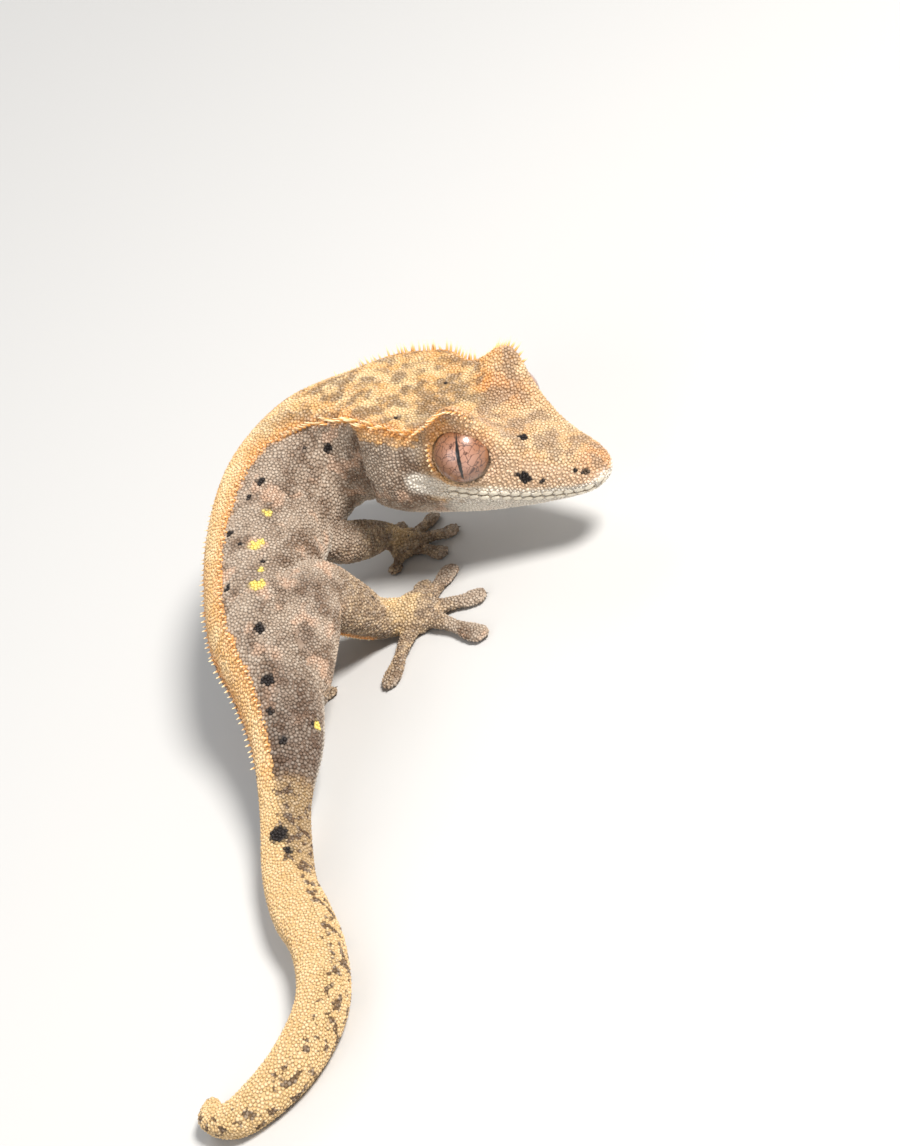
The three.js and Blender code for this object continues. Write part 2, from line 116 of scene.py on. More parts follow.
SPINE = (
    Station(-20.9, -35.9, 1.2, 0.7, 0.6, 0.8, 0, 60),
    Station(-21.4, -38.3, 1.6, 1.4, 1.2, 1.6, 0, 60),
    Station(-18.6, -40.6, 2.0, 1.9, 1.8, 2.1, 0, 60),
    Station(-12.4, -38.8, 2.5, 2.4, 2.4, 2.6, 0, 58),
    Station(-7.6, -33.6, 2.7, 2.6, 2.6, 2.8, 0, 56),
    Station(-5.9, -26.3, 2.8, 2.7, 2.7, 2.9, 0, 54),
    Station(-6.2, -19.6, 2.9, 3.0, 2.7, 3.0, 2, 50),
    Station(-6.0, -13.2, 3.2, 2.6, 2.5, 3.3, 14, 44),
    Station(-3.4, -5.4, 4.9, 2.6, 2.7, 2.8, 28, 38),
    Station(-0.6, 0.6, 7.4, 3.8, 3.4, 4.2, 40, 30),
    Station(0.9, 7.3, 9.4, 5.1, 4.2, 5.2, 46, 26),
    Station(2.2, 14.6, 10.8, 6.2, 5.9, 6.0, 46, 24),
    Station(4.5, 22.0, 11.8, 6.6, 6.8, 6.2, 42, 25),
    Station(7.6, 29.4, 12.4, 6.6, 7.7, 6.2, 35, 28),
    Station(12.2, 35.6, 12.8, 6.6, 8.8, 6.2, 25, 36),
    Station(18.6, 38.2, 13.4, 7.0, 9.1, 5.9, 14, 46),
)
HEAD_TIP = np.array([44.7, 14.1, 8.6])
HEAD_BACK = np.array([25.4, 35.0, 14.0])
HEAD_ROLL = 7.0
RIDGE_SPREAD = 12.0
RIDGE_LEAN = 0.3
HOLLOW_SHARE = 0.22
HOLLOW_SPREAD = 24.0
HEAD = (
    HeadStation(29.0, 7.9, 8.8, 5.9, 1.0, 2.2, 50),
    HeadStation(26.2, 8.7, 8.7, 6.0, 2.0, 2.3, 52),
    HeadStation(23.2, 9.0, 8.5, 6.2, 2.3, 2.3, 53),
    HeadStation(20.4, 8.5, 7.9, 6.2, 1.9, 2.4, 52),
    HeadStation(17.8, 7.9, 7.6, 6.0, 2.9, 2.4, 46),
    HeadStation(15.4, 7.3, 7.4, 5.8, 4.6, 2.4, 40),
    HeadStation(13.2, 6.7, 7.0, 5.5, 5.2, 2.4, 42),
    HeadStation(10.8, 5.8, 5.8, 5.1, 2.8, 2.4, 45),
    HeadStation(8.0, 4.9, 4.8, 4.5, 0.9, 2.4, 46),
    HeadStation(5.4, 4.0, 3.7, 3.8, 0.3, 2.4, 43),
    HeadStation(3.2, 3.3, 3.0, 3.1, 0.1, 2.3, 44),
    HeadStation(1.6, 2.7, 2.4, 2.4, 0.0, 2.2, 44),
    HeadStation(0.5, 1.8, 1.4, 1.5, 0.0, 2.1, 44),
    HeadStation(0.0, 0.9, 0.7, 0.7, 0.0, 2.0, 44),
)
TURN_WINDOW = 0.9
TURN_FADE = 2.4
HEAD_START = len(SPINE)
HEAD_AXIS = (HEAD_TIP - HEAD_BACK) / np.linalg.norm(HEAD_TIP - HEAD_BACK)


def unit(v: np.ndarray) -> np.ndarray:
    """Vectors of length one, along the last axis."""
    return v / np.maximum(np.linalg.norm(v, axis=-1, keepdims=True), 1e-9)


def bump(x: np.ndarray, middle: float, spread: float) -> np.ndarray:
    """Smooth bump that is 1 at its middle."""
    return np.exp(-((x - middle) ** 2) / (2 * spread * spread))


def step(x: np.ndarray, low: float, high: float) -> np.ndarray:
    """Smooth step from 0 at low to 1 at high."""
    t = np.clip((x - low) / (high - low), 0, 1)
    return t * t * (3 - 2 * t)


def curve(knots: np.ndarray, u: np.ndarray) -> np.ndarray:
    """Smooth curve through knots.

    Args:
        knots: A number or a row of numbers for each knot.
        u: Places along the curve, counted in knots.

    Returns:
        The number or the row at each place.
    """
    last = len(knots) - 1
    i = np.clip(np.floor(u).astype(int), 0, last - 1)
    t = np.clip(u - i, 0, 1).reshape(u.shape + (1,) * (knots.ndim - 1))
    p0 = knots[np.maximum(i - 1, 0)]
    p1 = knots[i]
    p2 = knots[i + 1]
    p3 = knots[np.minimum(i + 2, last)]
    b = p2 - p0
    c = 2 * p0 - 5 * p1 + 4 * p2 - p3
    e = 3 * p1 - p0 - 3 * p2 + p3
    return 0.5 * (2 * p1 + b * t + c * t * t + e * t ** 3)


class BodyForm:
    """The body from the tip of the tail to the snout, as a surface of station and angle."""

    def __init__(self) -> None:
        """Puts the sections of the body and of the head in one table."""
        stations = list(SPINE)
        for h in HEAD:
            p = HEAD_TIP - HEAD_AXIS * h.s
            stations.append(Station(*p, h.w, h.u, h.d, HEAD_ROLL, h.crest, h.ridge, h.square))
        keys = ("x", "y", "z", "w", "u", "d", "roll", "crest", "ridge", "square")
        self.table = {k: np.array([getattr(s, k) for s in stations], float) for k in keys}
        self.last = len(stations) - 1

    def value(self, key: str, u: np.ndarray) -> np.ndarray:
        """Value of one key at stations.

        Args:
            key: Name of the value.
            u: Stations, counted from the tip of the tail.

        Returns:
            The values on a smooth curve through the list.
        """
        return curve(self.table[key], np.asarray(u, float))

    def centre(self, u: np.ndarray) -> np.ndarray:
        """Points of the centre line."""
        return np.stack([self.value(k, u) for k in "xyz"], -1)

    def station_of_head(self, s: float) -> float:
        """Station at a distance back from the snout."""
        distances = [h.s for h in HEAD]
        return HEAD_START + float(np.interp(-s, [-d for d in distances], range(len(distances))))

    def axes(self, u: np.ndarray) -> tuple[np.ndarray, np.ndarray, np.ndarray, np.ndarray]:
        """Frame of a section.

        Args:
            u: Stations.

        Returns:
            Centre, way ahead, way to the back and way to the right side.
        """
        u = np.asarray(u, float)
        reach = np.clip(TURN_WINDOW * (HEAD_START + TURN_FADE - u), 0.12, TURN_WINDOW)
        low = np.maximum(u - reach, 0)
        high = np.minimum(u + reach, self.last)
        ahead = unit(self.centre(high) - self.centre(low))
        right = unit(np.cross(ahead, np.array([0.0, 0.0, 1.0])))
        up = unit(np.cross(right, ahead))
        roll = np.radians(self.value("roll", u))[..., None]
        back = up * np.cos(roll) - right * np.sin(roll)
        side = right * np.cos(roll) + up * np.sin(roll)
        return self.centre(u), ahead, back, side

    def surface(self, u: np.ndarray, angle: np.ndarray, swell: float = 0.0) -> np.ndarray:
        """Points of the surface.

        Args:
            u: Stations.
            angle: Degrees from the middle of the back, positive to the right.
            swell: Millimetres that the points stand out from the surface.

        Returns:
            Points in millimetres.
        """
        u, angle = np.broadcast_arrays(np.asarray(u, float), np.asarray(angle, float))
        centre, _, back, side = self.axes(u)
        n = 2 / self.value("square", u)
        a = np.radians(angle)
        s = np.sin(a)
        c = np.cos(a)
        h = np.where(c > 0, self.value("u", u), self.value("d", u))
        x = np.sign(s) * np.abs(s) ** n * self.value("w", u)
        y = np.sign(c) * np.abs(c) ** n * h
        ridge = self.value("ridge", u)
        lift = ridge * bump(np.abs(angle), self.value("crest", u), RIDGE_SPREAD)
        y = y + lift - HOLLOW_SHARE * ridge * bump(np.abs(angle), 0, HOLLOW_SPREAD)
        x = x + np.sign(s) * RIDGE_LEAN * lift
        grow = 1 + swell / np.maximum(np.hypot(x, y), 0.6)
        return centre + side * (x * grow)[..., None] + back * (y * grow)[..., None]

    def normal(self, u: np.ndarray, angle: np.ndarray) -> np.ndarray:
        """Outward normals of the surface."""
        du = self.surface(np.minimum(u + 0.05, self.last), angle) - self.surface(u - 0.05, angle)
        da = self.surface(u, angle + 2.0) - self.surface(u, angle - 2.0)
        n = unit(np.cross(da, du))
        out = self.surface(u, angle) - self.centre(u)
        return np.where((n * out).sum(-1, keepdims=True) < 0, -n, n)

    def inside_head(self, s: float, side: float, up: float, along: float = 0.0) -> np.ndarray:
        """Point in the head from its distance back, to the side and up."""
        centre, ahead, back, across = self.axes(np.array(self.station_of_head(s)))
        return centre + across * side + back * up + ahead * along


@dataclass(frozen=True)
class Face:
    """Mouth, nostril and ear of one side of the head."""

    form: BodyForm
    side: Side
    mouth_end: float = 20.0
    mouth_angle: float = 130.0
    mouth_rise: float = 62.0
    mouth_curve: float = 18.0
    nostril_s: float = 1.5
    nostril_angle: float = 66.0
    ear_s: float = 25.8
    ear_angle: float = 96.0

    def mouth(self, t: np.ndarray) -> tuple[np.ndarray, np.ndarray]:
        """Stations and angles of the mouth line, from the snout at 0 to its corner at 1."""
        s = 0.35 + (self.mouth_end - 0.35) * t
        angle = self.mouth_angle - self.mouth_rise * t + self.mouth_curve * t * t
        u = np.array([self.form.station_of_head(v) for v in s])
        return u, angle * self.side.value

    def from_mouth(self, points: np.ndarray) -> np.ndarray:
        """Distance of points from the mouth line."""
        line = self.form.surface(*self.mouth(np.linspace(0, 1, 140)))
        near = np.full(len(points), 9.0)
        close = np.linalg.norm(points - line[70], axis=1) < 14
        for q in line:
            near[close] = np.minimum(near[close], np.linalg.norm(points[close] - q, axis=1))
        return near

    def from_nostril(self, points: np.ndarray) -> np.ndarray:
        """Distance of points from the nostril."""
        u = np.array(self.form.station_of_head(self.nostril_s))
        middle = self.form.surface(u, np.array(self.nostril_angle * self.side.value))
        return np.linalg.norm(points - middle, axis=1)

    def from_ear(self, points: np.ndarray) -> np.ndarray:
        """Distance of points from the ear's slit."""
        u = np.array(self.form.station_of_head(self.ear_s))
        near = np.full(len(points), 9.0)
        for move in (-7.0, -3.5, 0.0, 3.5, 7.0):
            q = self.form.surface(u, np.array((self.ear_angle + move) * self.side.value))
            near = np.minimum(near, np.linalg.norm(points - q, axis=1))
        return near


@dataclass(frozen=True)
class Leg:
    """One leg: joints, thicknesses and the tips of its toes, in millimetres."""

    name: str
    side: Side
    hind: bool
    root: tuple[float, float, float]
    knee: tuple[float, float, float]
    ankle: tuple[float, float, float]
    palm: tuple[float, float, float]
    thick: tuple[float, float, float, float]
    sole: float
    toes: tuple[tuple[float, float], ...]


LEGS = (
    Leg("right_hind", Side.RIGHT, True,
        (2.6, 6.4, 8.2), (9.4, 17.2, 12.0), (14.0, 19.6, 3.3), (18.2, 19.2, 1.5), (3.9, 3.8, 2.5, 2.5), 3.4,
        ((20.6, 25.6), (24.6, 25.4), (26.2, 16.9), (23.8, 9.6), (11.4, 10.4))),
    Leg("left_hind", Side.LEFT, True,
        (-0.6, 6.2, 7.0), (-1.9, 19.2, 6.9), (-0.6, 10.6, 2.5), (1.8, 14.4, 1.3), (3.1, 2.3, 2.1, 1.5), 2.7,
        ((-2.4, 15.4), (-0.8, 21.4), (2.8, 23.2), (6.0, 21.0), (6.2, 15.6))),
    Leg("right_fore", Side.RIGHT, False,
        (12.0, 33.2, 10.8), (14.6, 31.0, 7.4), (19.4, 34.2, 3.2), (21.0, 33.4, 1.4),
        (3.0, 2.6, 2.1, 1.7), 2.4,
        ((17.9, 30.6), (24.6, 28.4), (27.4, 32.0), (26.0, 37.4), (21.4, 39.6))),
    Leg("left_fore", Side.LEFT, False,
        (11.0, 37.6, 9.6), (3.6, 43.2, 7.4), (5.4, 51.6, 2.8), (6.4, 54.0, 1.4), (3.0, 2.4, 1.9, 1.5), 2.3,
        ((11.8, 53.2), (12.2, 57.6), (8.0, 60.4), (2.8, 59.0), (0.2, 54.4))),
)


def fringe_line(leg: Leg, count: int) -> tuple[np.ndarray, np.ndarray]:
    """Lower rear edge of a hind leg's shin.

    Args:
        leg: The leg.
        count: Points along the edge.

    Returns:
        Points of the edge and the way out of the leg there.
    """
    t = np.linspace(0.12, 0.96, count)[:, None]
    knee = np.array(leg.knee)
    ankle = np.array(leg.ankle)
    axis = unit(ankle - knee)
    rear = np.array([-0.5, -0.47, -0.73])
    out = unit(rear - axis * float(rear @ axis))
    radius = leg.thick[1] * 0.95 * (1 - t) + leg.thick[3] * 0.95 * t + 0.22 * np.sin(np.pi * t)
    return knee + (ankle - knee) * t + out * radius, np.broadcast_to(out, (count, 3))


@dataclass(frozen=True)
class ToeShape:
    """Half widths and heights of a toe at parts of its length."""

    root: float = 0.95
    waist: float = 0.72
    pad: float = 1.12
    height: float = 0.72


@dataclass(frozen=True)
class EyeShape:
    """Place and size of an eye, in millimetres."""

    s: float = 14.7
    side: float = 5.6
    up: float = 4.1
    radius: float = 3.5
    look_side: float = 0.86
    look_back: float = 0.33
    look_ahead: float = 0.39
    rim_share: float = 1.03
    rim_rise: float = 0.14
    rim_thick: float = 0.40
    rim_turns: int = 64
    rim_sides: int = 12
    socket_gap: float = 0.22


@dataclass
class Cloud:
    """Samples of the body's surface that say where on the animal a point is."""

    points: list[np.ndarray] = field(default_factory=list)
    station: list[np.ndarray] = field(default_factory=list)
    angle: list[np.ndarray] = field(default_factory=list)
    part: list[np.ndarray] = field(default_factory=list)
    uv: list[np.ndarray] = field(default_factory=list)

    def add(self, points: np.ndarray, station: np.ndarray, angle: np.ndarray, part: int,
            uv: np.ndarray) -> None:
        """Adds samples of one part, with their place on the unwrap."""
        count = len(points)
        self.points.append(points)
        self.station.append(np.broadcast_to(station, count))
        self.angle.append(np.broadcast_to(angle, count))
        self.part.append(np.full(count, part))
        self.uv.append(uv)

    def close(self) -> None:
        """Joins the samples and builds the search tree."""
        self.all = {
            "points": np.concatenate(self.points),
            "station": np.concatenate(self.station),
            "angle": np.concatenate(self.angle),
            "part": np.concatenate(self.part),
            "uv": np.concatenate(self.uv),
        }
        self.tree = KDTree(len(self.all["points"]))
        for i, p in enumerate(self.all["points"]):
            self.tree.insert(p, i)
        self.tree.balance()

    def read(self, points: np.ndarray) -> dict[str, np.ndarray]:
        """Place of points on the animal.

        Args:
            points: Points near the surface.

        Returns:
            Station, angle, part and place on the unwrap.
        """
        found = [self.tree.find_n(p, 4) for p in points]
        index = np.array([[f[1] for f in row] for row in found])
        weight = 1 / (np.array([[f[2] for f in row] for row in found]) + 0.02)
        first = index[:, :1]
        part = self.all["part"]
        uv = self.all["uv"]
        same = (part[index] == part[first]) & (np.abs(uv[index] - uv[first]).max(-1) < 0.03)
        weight = weight * same
        weight = weight / weight.sum(1, keepdims=True)
        return {
            "station": (self.all["station"][index] * weight).sum(1),
            "angle": (self.all["angle"][index] * weight).sum(1),
            "part": part[first[:, 0]],
            "uv": (uv[index] * weight[..., None]).sum(1),
        }


def new_object(name: str, mesh: bpy.types.Mesh) -> bpy.types.Object:
    """Object of a mesh, linked to the scene."""
    obj = bpy.data.objects.new(name, mesh)
    bpy.context.scene.collection.objects.link(obj)
    return obj


def mesh_from(name: str, points: np.ndarray, faces: list) -> bpy.types.Mesh:
    """Mesh with faces turned outwards."""
    mesh = bpy.data.meshes.new(name)
    mesh.from_pydata([tuple(p) for p in points], [], [tuple(f) for f in faces])
    work = bmesh.new()
    work.from_mesh(mesh)
    bmesh.ops.recalc_face_normals(work, faces=work.faces)
    work.to_mesh(mesh)
    work.free()
    return mesh


def loft(rings: np.ndarray) -> tuple[np.ndarray, list]:
    """Closed loft.

    Args:
        rings: Array of rings, points and coordinates.

    Returns:
        Points and faces, with a fan at each end.
    """
    n, m = rings.shape[:2]
    points = np.concatenate([rings.reshape(-1, 3), rings[:1].mean(1), rings[-1:].mean(1)])
    faces = []
    for i in range(n - 1):
        for j in range(m):
            k = (j + 1) % m
            faces.append((i * m + j, i * m + k, (i + 1) * m + k, (i + 1) * m + j))
    for j in range(m):
        k = (j + 1) % m
        faces.append((n * m, k, j))
        faces.append((n * m + 1, (n - 1) * m + j, (n - 1) * m + k))
    return points, faces


def spline(points: np.ndarray, count: int) -> np.ndarray:
    """Points at even places along a smooth curve through rows of any width."""
    return curve(points, np.linspace(0, len(points) - 1, count))


def tube_rings(path: np.ndarray, widths: np.ndarray, heights: np.ndarray, sides: int) -> np.ndarray:
    """Rings of a tube along a path."""
    ahead = unit(np.gradient(path, axis=0))
    across = np.cross(ahead, np.array([0.0, 0.0, 1.0]))
    across = unit(across + np.array([1e-4, 0, 0]))
    lift = unit(np.cross(across, ahead))
    a = np.linspace(0, 2 * math.pi, sides, endpoint=False)
    c = np.cos(a)[None, :, None] * across[:, None, :] * widths[:, None, None]
    s = np.sin(a)[None, :, None] * lift[:, None, :] * heights[:, None, None]
    return path[:, None, :] + c + s


# Skin


@dataclass
class Skin:
    """One closed skin over the whole animal, with what its scales and colours need to know."""

    form: BodyForm
    toe: ToeShape = field(default_factory=ToeShape)
    eye: EyeShape = field(default_factory=EyeShape)
    voxel: float = 0.26
    coat_depth: float = 0.10
    body_sides: int = 72
    rings_per_station: int = 14
    smoothing: int = 2
    unwrap_body: tuple[float, float, float, float] = (0.02, 0.52, 0.98, 0.98)
    unwrap_limb_rows: int = 4
    unwrap_limb_columns: int = 8
    mouth_cut: tuple[float, float] = (0.26, 0.20)
    nostril_cut: tuple[float, float] = (0.50, 0.26)
    ear_cut: tuple[float, float] = (1.00, 0.36)

    def __post_init__(self) -> None:
        """Starts an empty cloud of samples."""
        self.cloud = Cloud()
        self.meshes: list[tuple[np.ndarray, list]] = []
        self.islands = 0

    def island(self) -> tuple[float, float, float, float]:
        """Next free patch of the unwrap for a limb or a toe."""
        columns = self.unwrap_limb_columns
        row, column = divmod(self.islands, columns)
        self.islands += 1
        width = 0.96 / columns
        height = 0.48 / self.unwrap_limb_rows
        return (0.02 + column * width, 0.01 + row * height, width * 0.92, height * 0.9)

    def trunk(self) -> None:
        """Loft of the whole body, tail to snout."""
        form = self.form
        u = np.linspace(0, form.last, int(form.last * self.rings_per_station))
        angles = np.arange(self.body_sides) * 360 / self.body_sides - 180 + 0.01
        uu, aa = np.meshgrid(u, angles, indexing="ij")
        rings = form.surface(uu, aa, -self.coat_depth)
        rings = rings + self.folds(uu, aa)
        self.meshes.append(loft(rings))
        length = np.concatenate([[0], np.cumsum(np.linalg.norm(np.diff(form.centre(u), axis=0), axis=1))])
        x0, y0, x1, y1 = self.unwrap_body
        along = x0 + (x1 - x0) * length / length[-1]
        around = y0 + (y1 - y0) * (aa + 180) / 360
        uv = np.stack([np.broadcast_to(along[:, None], aa.shape), around], -1)
        self.cloud.add(rings.reshape(-1, 3), uu.ravel(), aa.ravel(), 0, uv.reshape(-1, 2))

    def folds(self, u: np.ndarray, angle: np.ndarray) -> np.ndarray:
        """Loose folds of skin on the neck and flank, as moves of the surface."""
        normal = self.form.normal(u, angle)
        s = self.form.station_of_head
        throat = bump(u, s(28.2), 0.28) * step(np.abs(angle), 60, 100)
        jowl = bump(u, s(24.0), 0.8) * bump(np.abs(angle), 105, 22)
        neck = (np.sin(u * 17 + angle * 0.03) * bump(u, 15.4, 0.7)) * step(np.abs(angle), 60, 90)
        flank = np.sin(u * 9 + np.abs(angle) * 0.06) * bump(u, 12.6, 1.5) * bump(np.abs(angle), 110, 35)
        move = -0.55 * throat + 0.35 * jowl + 0.14 * neck + 0.10 * flank
        return normal * move[..., None]

    def tube(self, path: np.ndarray, widths: np.ndarray, heights: np.ndarray, part: int,
             sides: int = 28) -> None:
        """Adds one closed tube and its samples."""
        rings = tube_rings(path, widths - self.coat_depth, heights - self.coat_depth, sides)
        self.meshes.append(loft(rings))
        n = len(path)
        x, y, w, h = self.island()
        along = np.repeat(np.linspace(0, 1, n), sides)
        around = np.tile(np.arange(sides) / sides, n)
        uv = np.stack([x + w * along, y + h * around], -1)
        self.cloud.add(rings.reshape(-1, 3), along, around * 360, part, uv)

    def limb(self, leg: Leg, part: int) -> None:
        """One leg with its foot and toes."""
        t0, t1, t2, t3 = leg.thick
        stops = np.array([
            (*leg.root, t0 * 0.9),
            (*(np.array(leg.root) * 0.45 + np.array(leg.knee) * 0.55), (t0 + t1) / 2),
            (*leg.knee, t1 * 0.98),
            (*(np.array(leg.knee) * 0.5 + np.array(leg.ankle) * 0.5), (t1 + t3) / 2 + 0.25),
            (*leg.ankle, t3),
            (*leg.palm, t3 * 0.8),
        ])
        line = spline(stops, 60)
        self.tube(line[:, :3], line[:, 3], line[:, 3], part, 32)
        self.sole(leg, part)
        for i, tip in enumerate(leg.toes):
            size = t2 / (2.35 if i in (0, 4) else 2.15)
            self.toe_tube(np.array(leg.palm), np.array(tip), size, part)

    def sole(self, leg: Leg, part: int) -> None:
        """Flat ball of the palm or sole."""
        t = np.linspace(-1, 1, 16)[1:-1]
        path = np.array(leg.palm) + np.stack([t * leg.sole * 0.98, 0 * t, 0 * t], -1)
        r = np.sqrt(1 - t * t)
        self.tube(path, r * leg.sole * 0.9, np.maximum(r * leg.thick[3] * 0.92, 0.2), part, 28)

    def toe_tube(self, palm: np.ndarray, tip: np.ndarray, size: float, part: int) -> None:
        """One toe with its waist and broad pad."""
        toe = self.toe
        root = np.array([palm[0], palm[1], toe.height * size])
        end = np.array([tip[0], tip[1], toe.height * size * 0.72])
        stops = np.array([
            (0.00, toe.root * 1.1, toe.height * 1.25),
            (0.30, toe.root, toe.height * 1.1),
            (0.56, toe.waist, toe.height * 0.95),
            (0.76, toe.pad * 0.98, toe.height * 0.82),
            (0.90, toe.pad * 1.02, toe.height * 0.72),
            (0.97, toe.pad * 0.75, toe.height * 0.55),
            (1.00, toe.pad * 0.35, toe.height * 0.35),
        ])
        row = spline(stops, 26)
        path = root + (end - root) * row[:, :1]
        path[:, 2] += 0.35 * np.sin(np.pi * np.clip(row[:, 0] / 0.7, 0, 1))
        self.tube(path, row[:, 1] * size, row[:, 2] * size, part, 20)

    def rim(self, side: Side) -> None:
        """Rolled rim of scales round an eye."""
        eye = self.eye
        centre = self.eye_centre(side)
        look = self.eye_look(side)
        first = unit(np.cross(look, np.array([0.1, 0.2, 1.0])))
        second = np.cross(look, first)
        ring = eye.radius * eye.rim_share
        t = np.linspace(0, 2 * math.pi, eye.rim_turns + 1)[:-1]
        at = centre + look * (eye.radius * eye.rim_rise)
        path = at + np.outer(np.cos(t), first) * ring + np.outer(np.sin(t), second) * ring
        sides = eye.rim_sides
        out = unit(path - at)
        a = np.linspace(0, 2 * math.pi, sides, endpoint=False)
        spread = np.cos(a)[None, :, None] * out[:, None, :]
        lift = np.sin(a)[None, :, None] * look[None, None, :]
        rings = path[:, None, :] + eye.rim_thick * (spread + lift)
        n = len(path)
        points = rings.reshape(-1, 3)
        faces = []
        for i in range(n):
            k = (i + 1) % n
            for j in range(sides):
                m = (j + 1) % sides
                faces.append((i * sides + j, i * sides + m, k * sides + m, k * sides + j))
        self.meshes.append((points, faces))

    def eye_centre(self, side: Side) -> np.ndarray:
        """Centre of one eyeball."""
        return self.form.inside_head(self.eye.s, self.eye.side * side.value, self.eye.up)

    def eye_look(self, side: Side) -> np.ndarray:
        """Way that one eye looks."""
        _, ahead, back, across = self.form.axes(np.array(self.form.station_of_head(self.eye.s)))
        eye = self.eye
        return unit(across * side.value * eye.look_side + back * eye.look_back + ahead * eye.look_ahead)

    def build(self) -> bpy.types.Object:
        """Joins everything into one closed skin.

        Returns:
            The skin, still in millimetres and in the pose's own coordinates.
        """
        self.trunk()
        for part, leg in enumerate(LEGS, 1):
            self.limb(leg, part)
        for side in Side:
            self.rim(side)
        self.cloud.close()
        points = []
        faces = []
        start = 0
        for p, f in self.meshes:
            points.append(p)
            faces.extend(tuple(i + start for i in face) for face in f)
            start += len(p)
        obj = new_object("skin", mesh_from("skin", np.concatenate(points), faces))
        remesh = obj.modifiers.new("Remesh", "REMESH")
        remesh.mode = "VOXEL"
        remesh.voxel_size = self.voxel
        remesh.adaptivity = 0.0
        smooth = obj.modifiers.new("Smooth", "SMOOTH")
        smooth.factor = 0.5
        smooth.iterations = self.smoothing
        obj = plain(obj)
        self.settle(obj)
        return obj

    def settle(self, obj: bpy.types.Object) -> None:
        """Flattens the underside on the floor and tucks the skin round the eyeballs."""
        co = coordinates(obj.data)
        co[:, 2] = np.maximum(co[:, 2], 0.0)
        for side in Side:
            centre = self.eye_centre(side)
            away = co - centre
            distance = np.linalg.norm(away, axis=1, keepdims=True)
            depth = self.eye.radius - self.eye.socket_gap
            inside = distance < self.eye.radius
            pulled = centre + away / np.maximum(distance, 1e-6) * np.minimum(distance, depth)
            co = np.where(inside, pulled, co)
        co = co - normals(obj.data) * self.carve(co)[:, None]
        co[:, 2] = np.maximum(co[:, 2], 0.0)
        write_places(obj.data, co)

    def carve(self, co: np.ndarray) -> np.ndarray:
        """Depth of the mouth line, nostrils and ears at points."""
        depth = np.zeros(len(co))
        for side in Side:
            face = Face(self.form, side)
            depth += self.mouth_cut[0] * bump(face.from_mouth(co), 0, self.mouth_cut[1])
            depth += self.nostril_cut[0] * bump(face.from_nostril(co), 0, self.nostril_cut[1])
            depth += self.ear_cut[0] * bump(face.from_ear(co), 0, self.ear_cut[1])
        return depth


def normals(mesh: bpy.types.Mesh) -> np.ndarray:
    """Vertex normals of a mesh."""
    n = np.empty(len(mesh.vertices) * 3, np.float32)
    mesh.vertices.foreach_get("normal", n)
    return n.reshape(-1, 3).astype(float)


def coordinates(mesh: bpy.types.Mesh) -> np.ndarray:
    """Vertex coordinates of a mesh."""
    co = np.empty(len(mesh.vertices) * 3, np.float32)
    mesh.vertices.foreach_get("co", co)
    return co.reshape(-1, 3).astype(float)


def plain(obj: bpy.types.Object) -> bpy.types.Object:
    """Object whose modifiers are worked into a plain mesh."""
    graph = bpy.context.evaluated_depsgraph_get()
    graph.update()
    mesh = bpy.data.meshes.new_from_object(obj.evaluated_get(graph))
    old = obj.data
    obj.modifiers.clear()
    obj.data = mesh
    bpy.data.meshes.remove(old)
    return obj


def write_places(mesh: bpy.types.Mesh, points: np.ndarray) -> None:
    """Moves the vertices of a mesh to points."""
    mesh.vertices.foreach_set("co", points.astype(np.float32).ravel())
    mesh.update()


def write_map(mesh: bpy.types.Mesh, name: str, places: np.ndarray) -> None:
    """Writes a map that has one place for each vertex."""
    layer = mesh.uv_layers.get(name) or mesh.uv_layers.new(name=name)
    loops = np.empty(len(mesh.loops), np.int32)
    mesh.loops.foreach_get("vertex_index", loops)
    layer.data.foreach_set("uv", places[loops].astype(np.float32).ravel())


def write_attribute(mesh: bpy.types.Mesh, name: str, values: np.ndarray) -> None:
    """Writes a number for each vertex."""
    layer = mesh.attributes.get(name) or mesh.attributes.new(name, "FLOAT", "POINT")
    layer.data.foreach_set("value", np.asarray(values, np.float32))


# Markings


@dataclass(frozen=True)
class Spot:
    """A spot of pigment on the body: station, angle from the back and radius in millimetres."""

    u: float
    angle: float
    radius: float


def lattice(p: np.ndarray) -> np.ndarray:
    """Repeatable numbers from 0 to 1 for whole lattice points."""
    q = p.astype(np.int64)
    h = (q[..., 0] * 73856093) ^ (q[..., 1] * 19349663) ^ (q[..., 2] * 83492791)
    h = (h ^ (h >> 13)) * 1274126177
    return ((h ^ (h >> 16)) & 0xFFFF) / 65535.0


def noise(points: np.ndarray, size: float) -> np.ndarray:
    """Smooth random field from 0 to 1, with features of a size in millimetres."""
    p = points / size + 100.0
    base = np.floor(p)
    f = p - base
    f = f * f * (3 - 2 * f)
    total = np.zeros(len(points))
    for corner in range(8):
        o = np.array([corner & 1, (corner >> 1) & 1, corner >> 2])
        w = np.prod(np.where(o, f, 1 - f), axis=1)
        total += w * lattice(base + o)
    return total


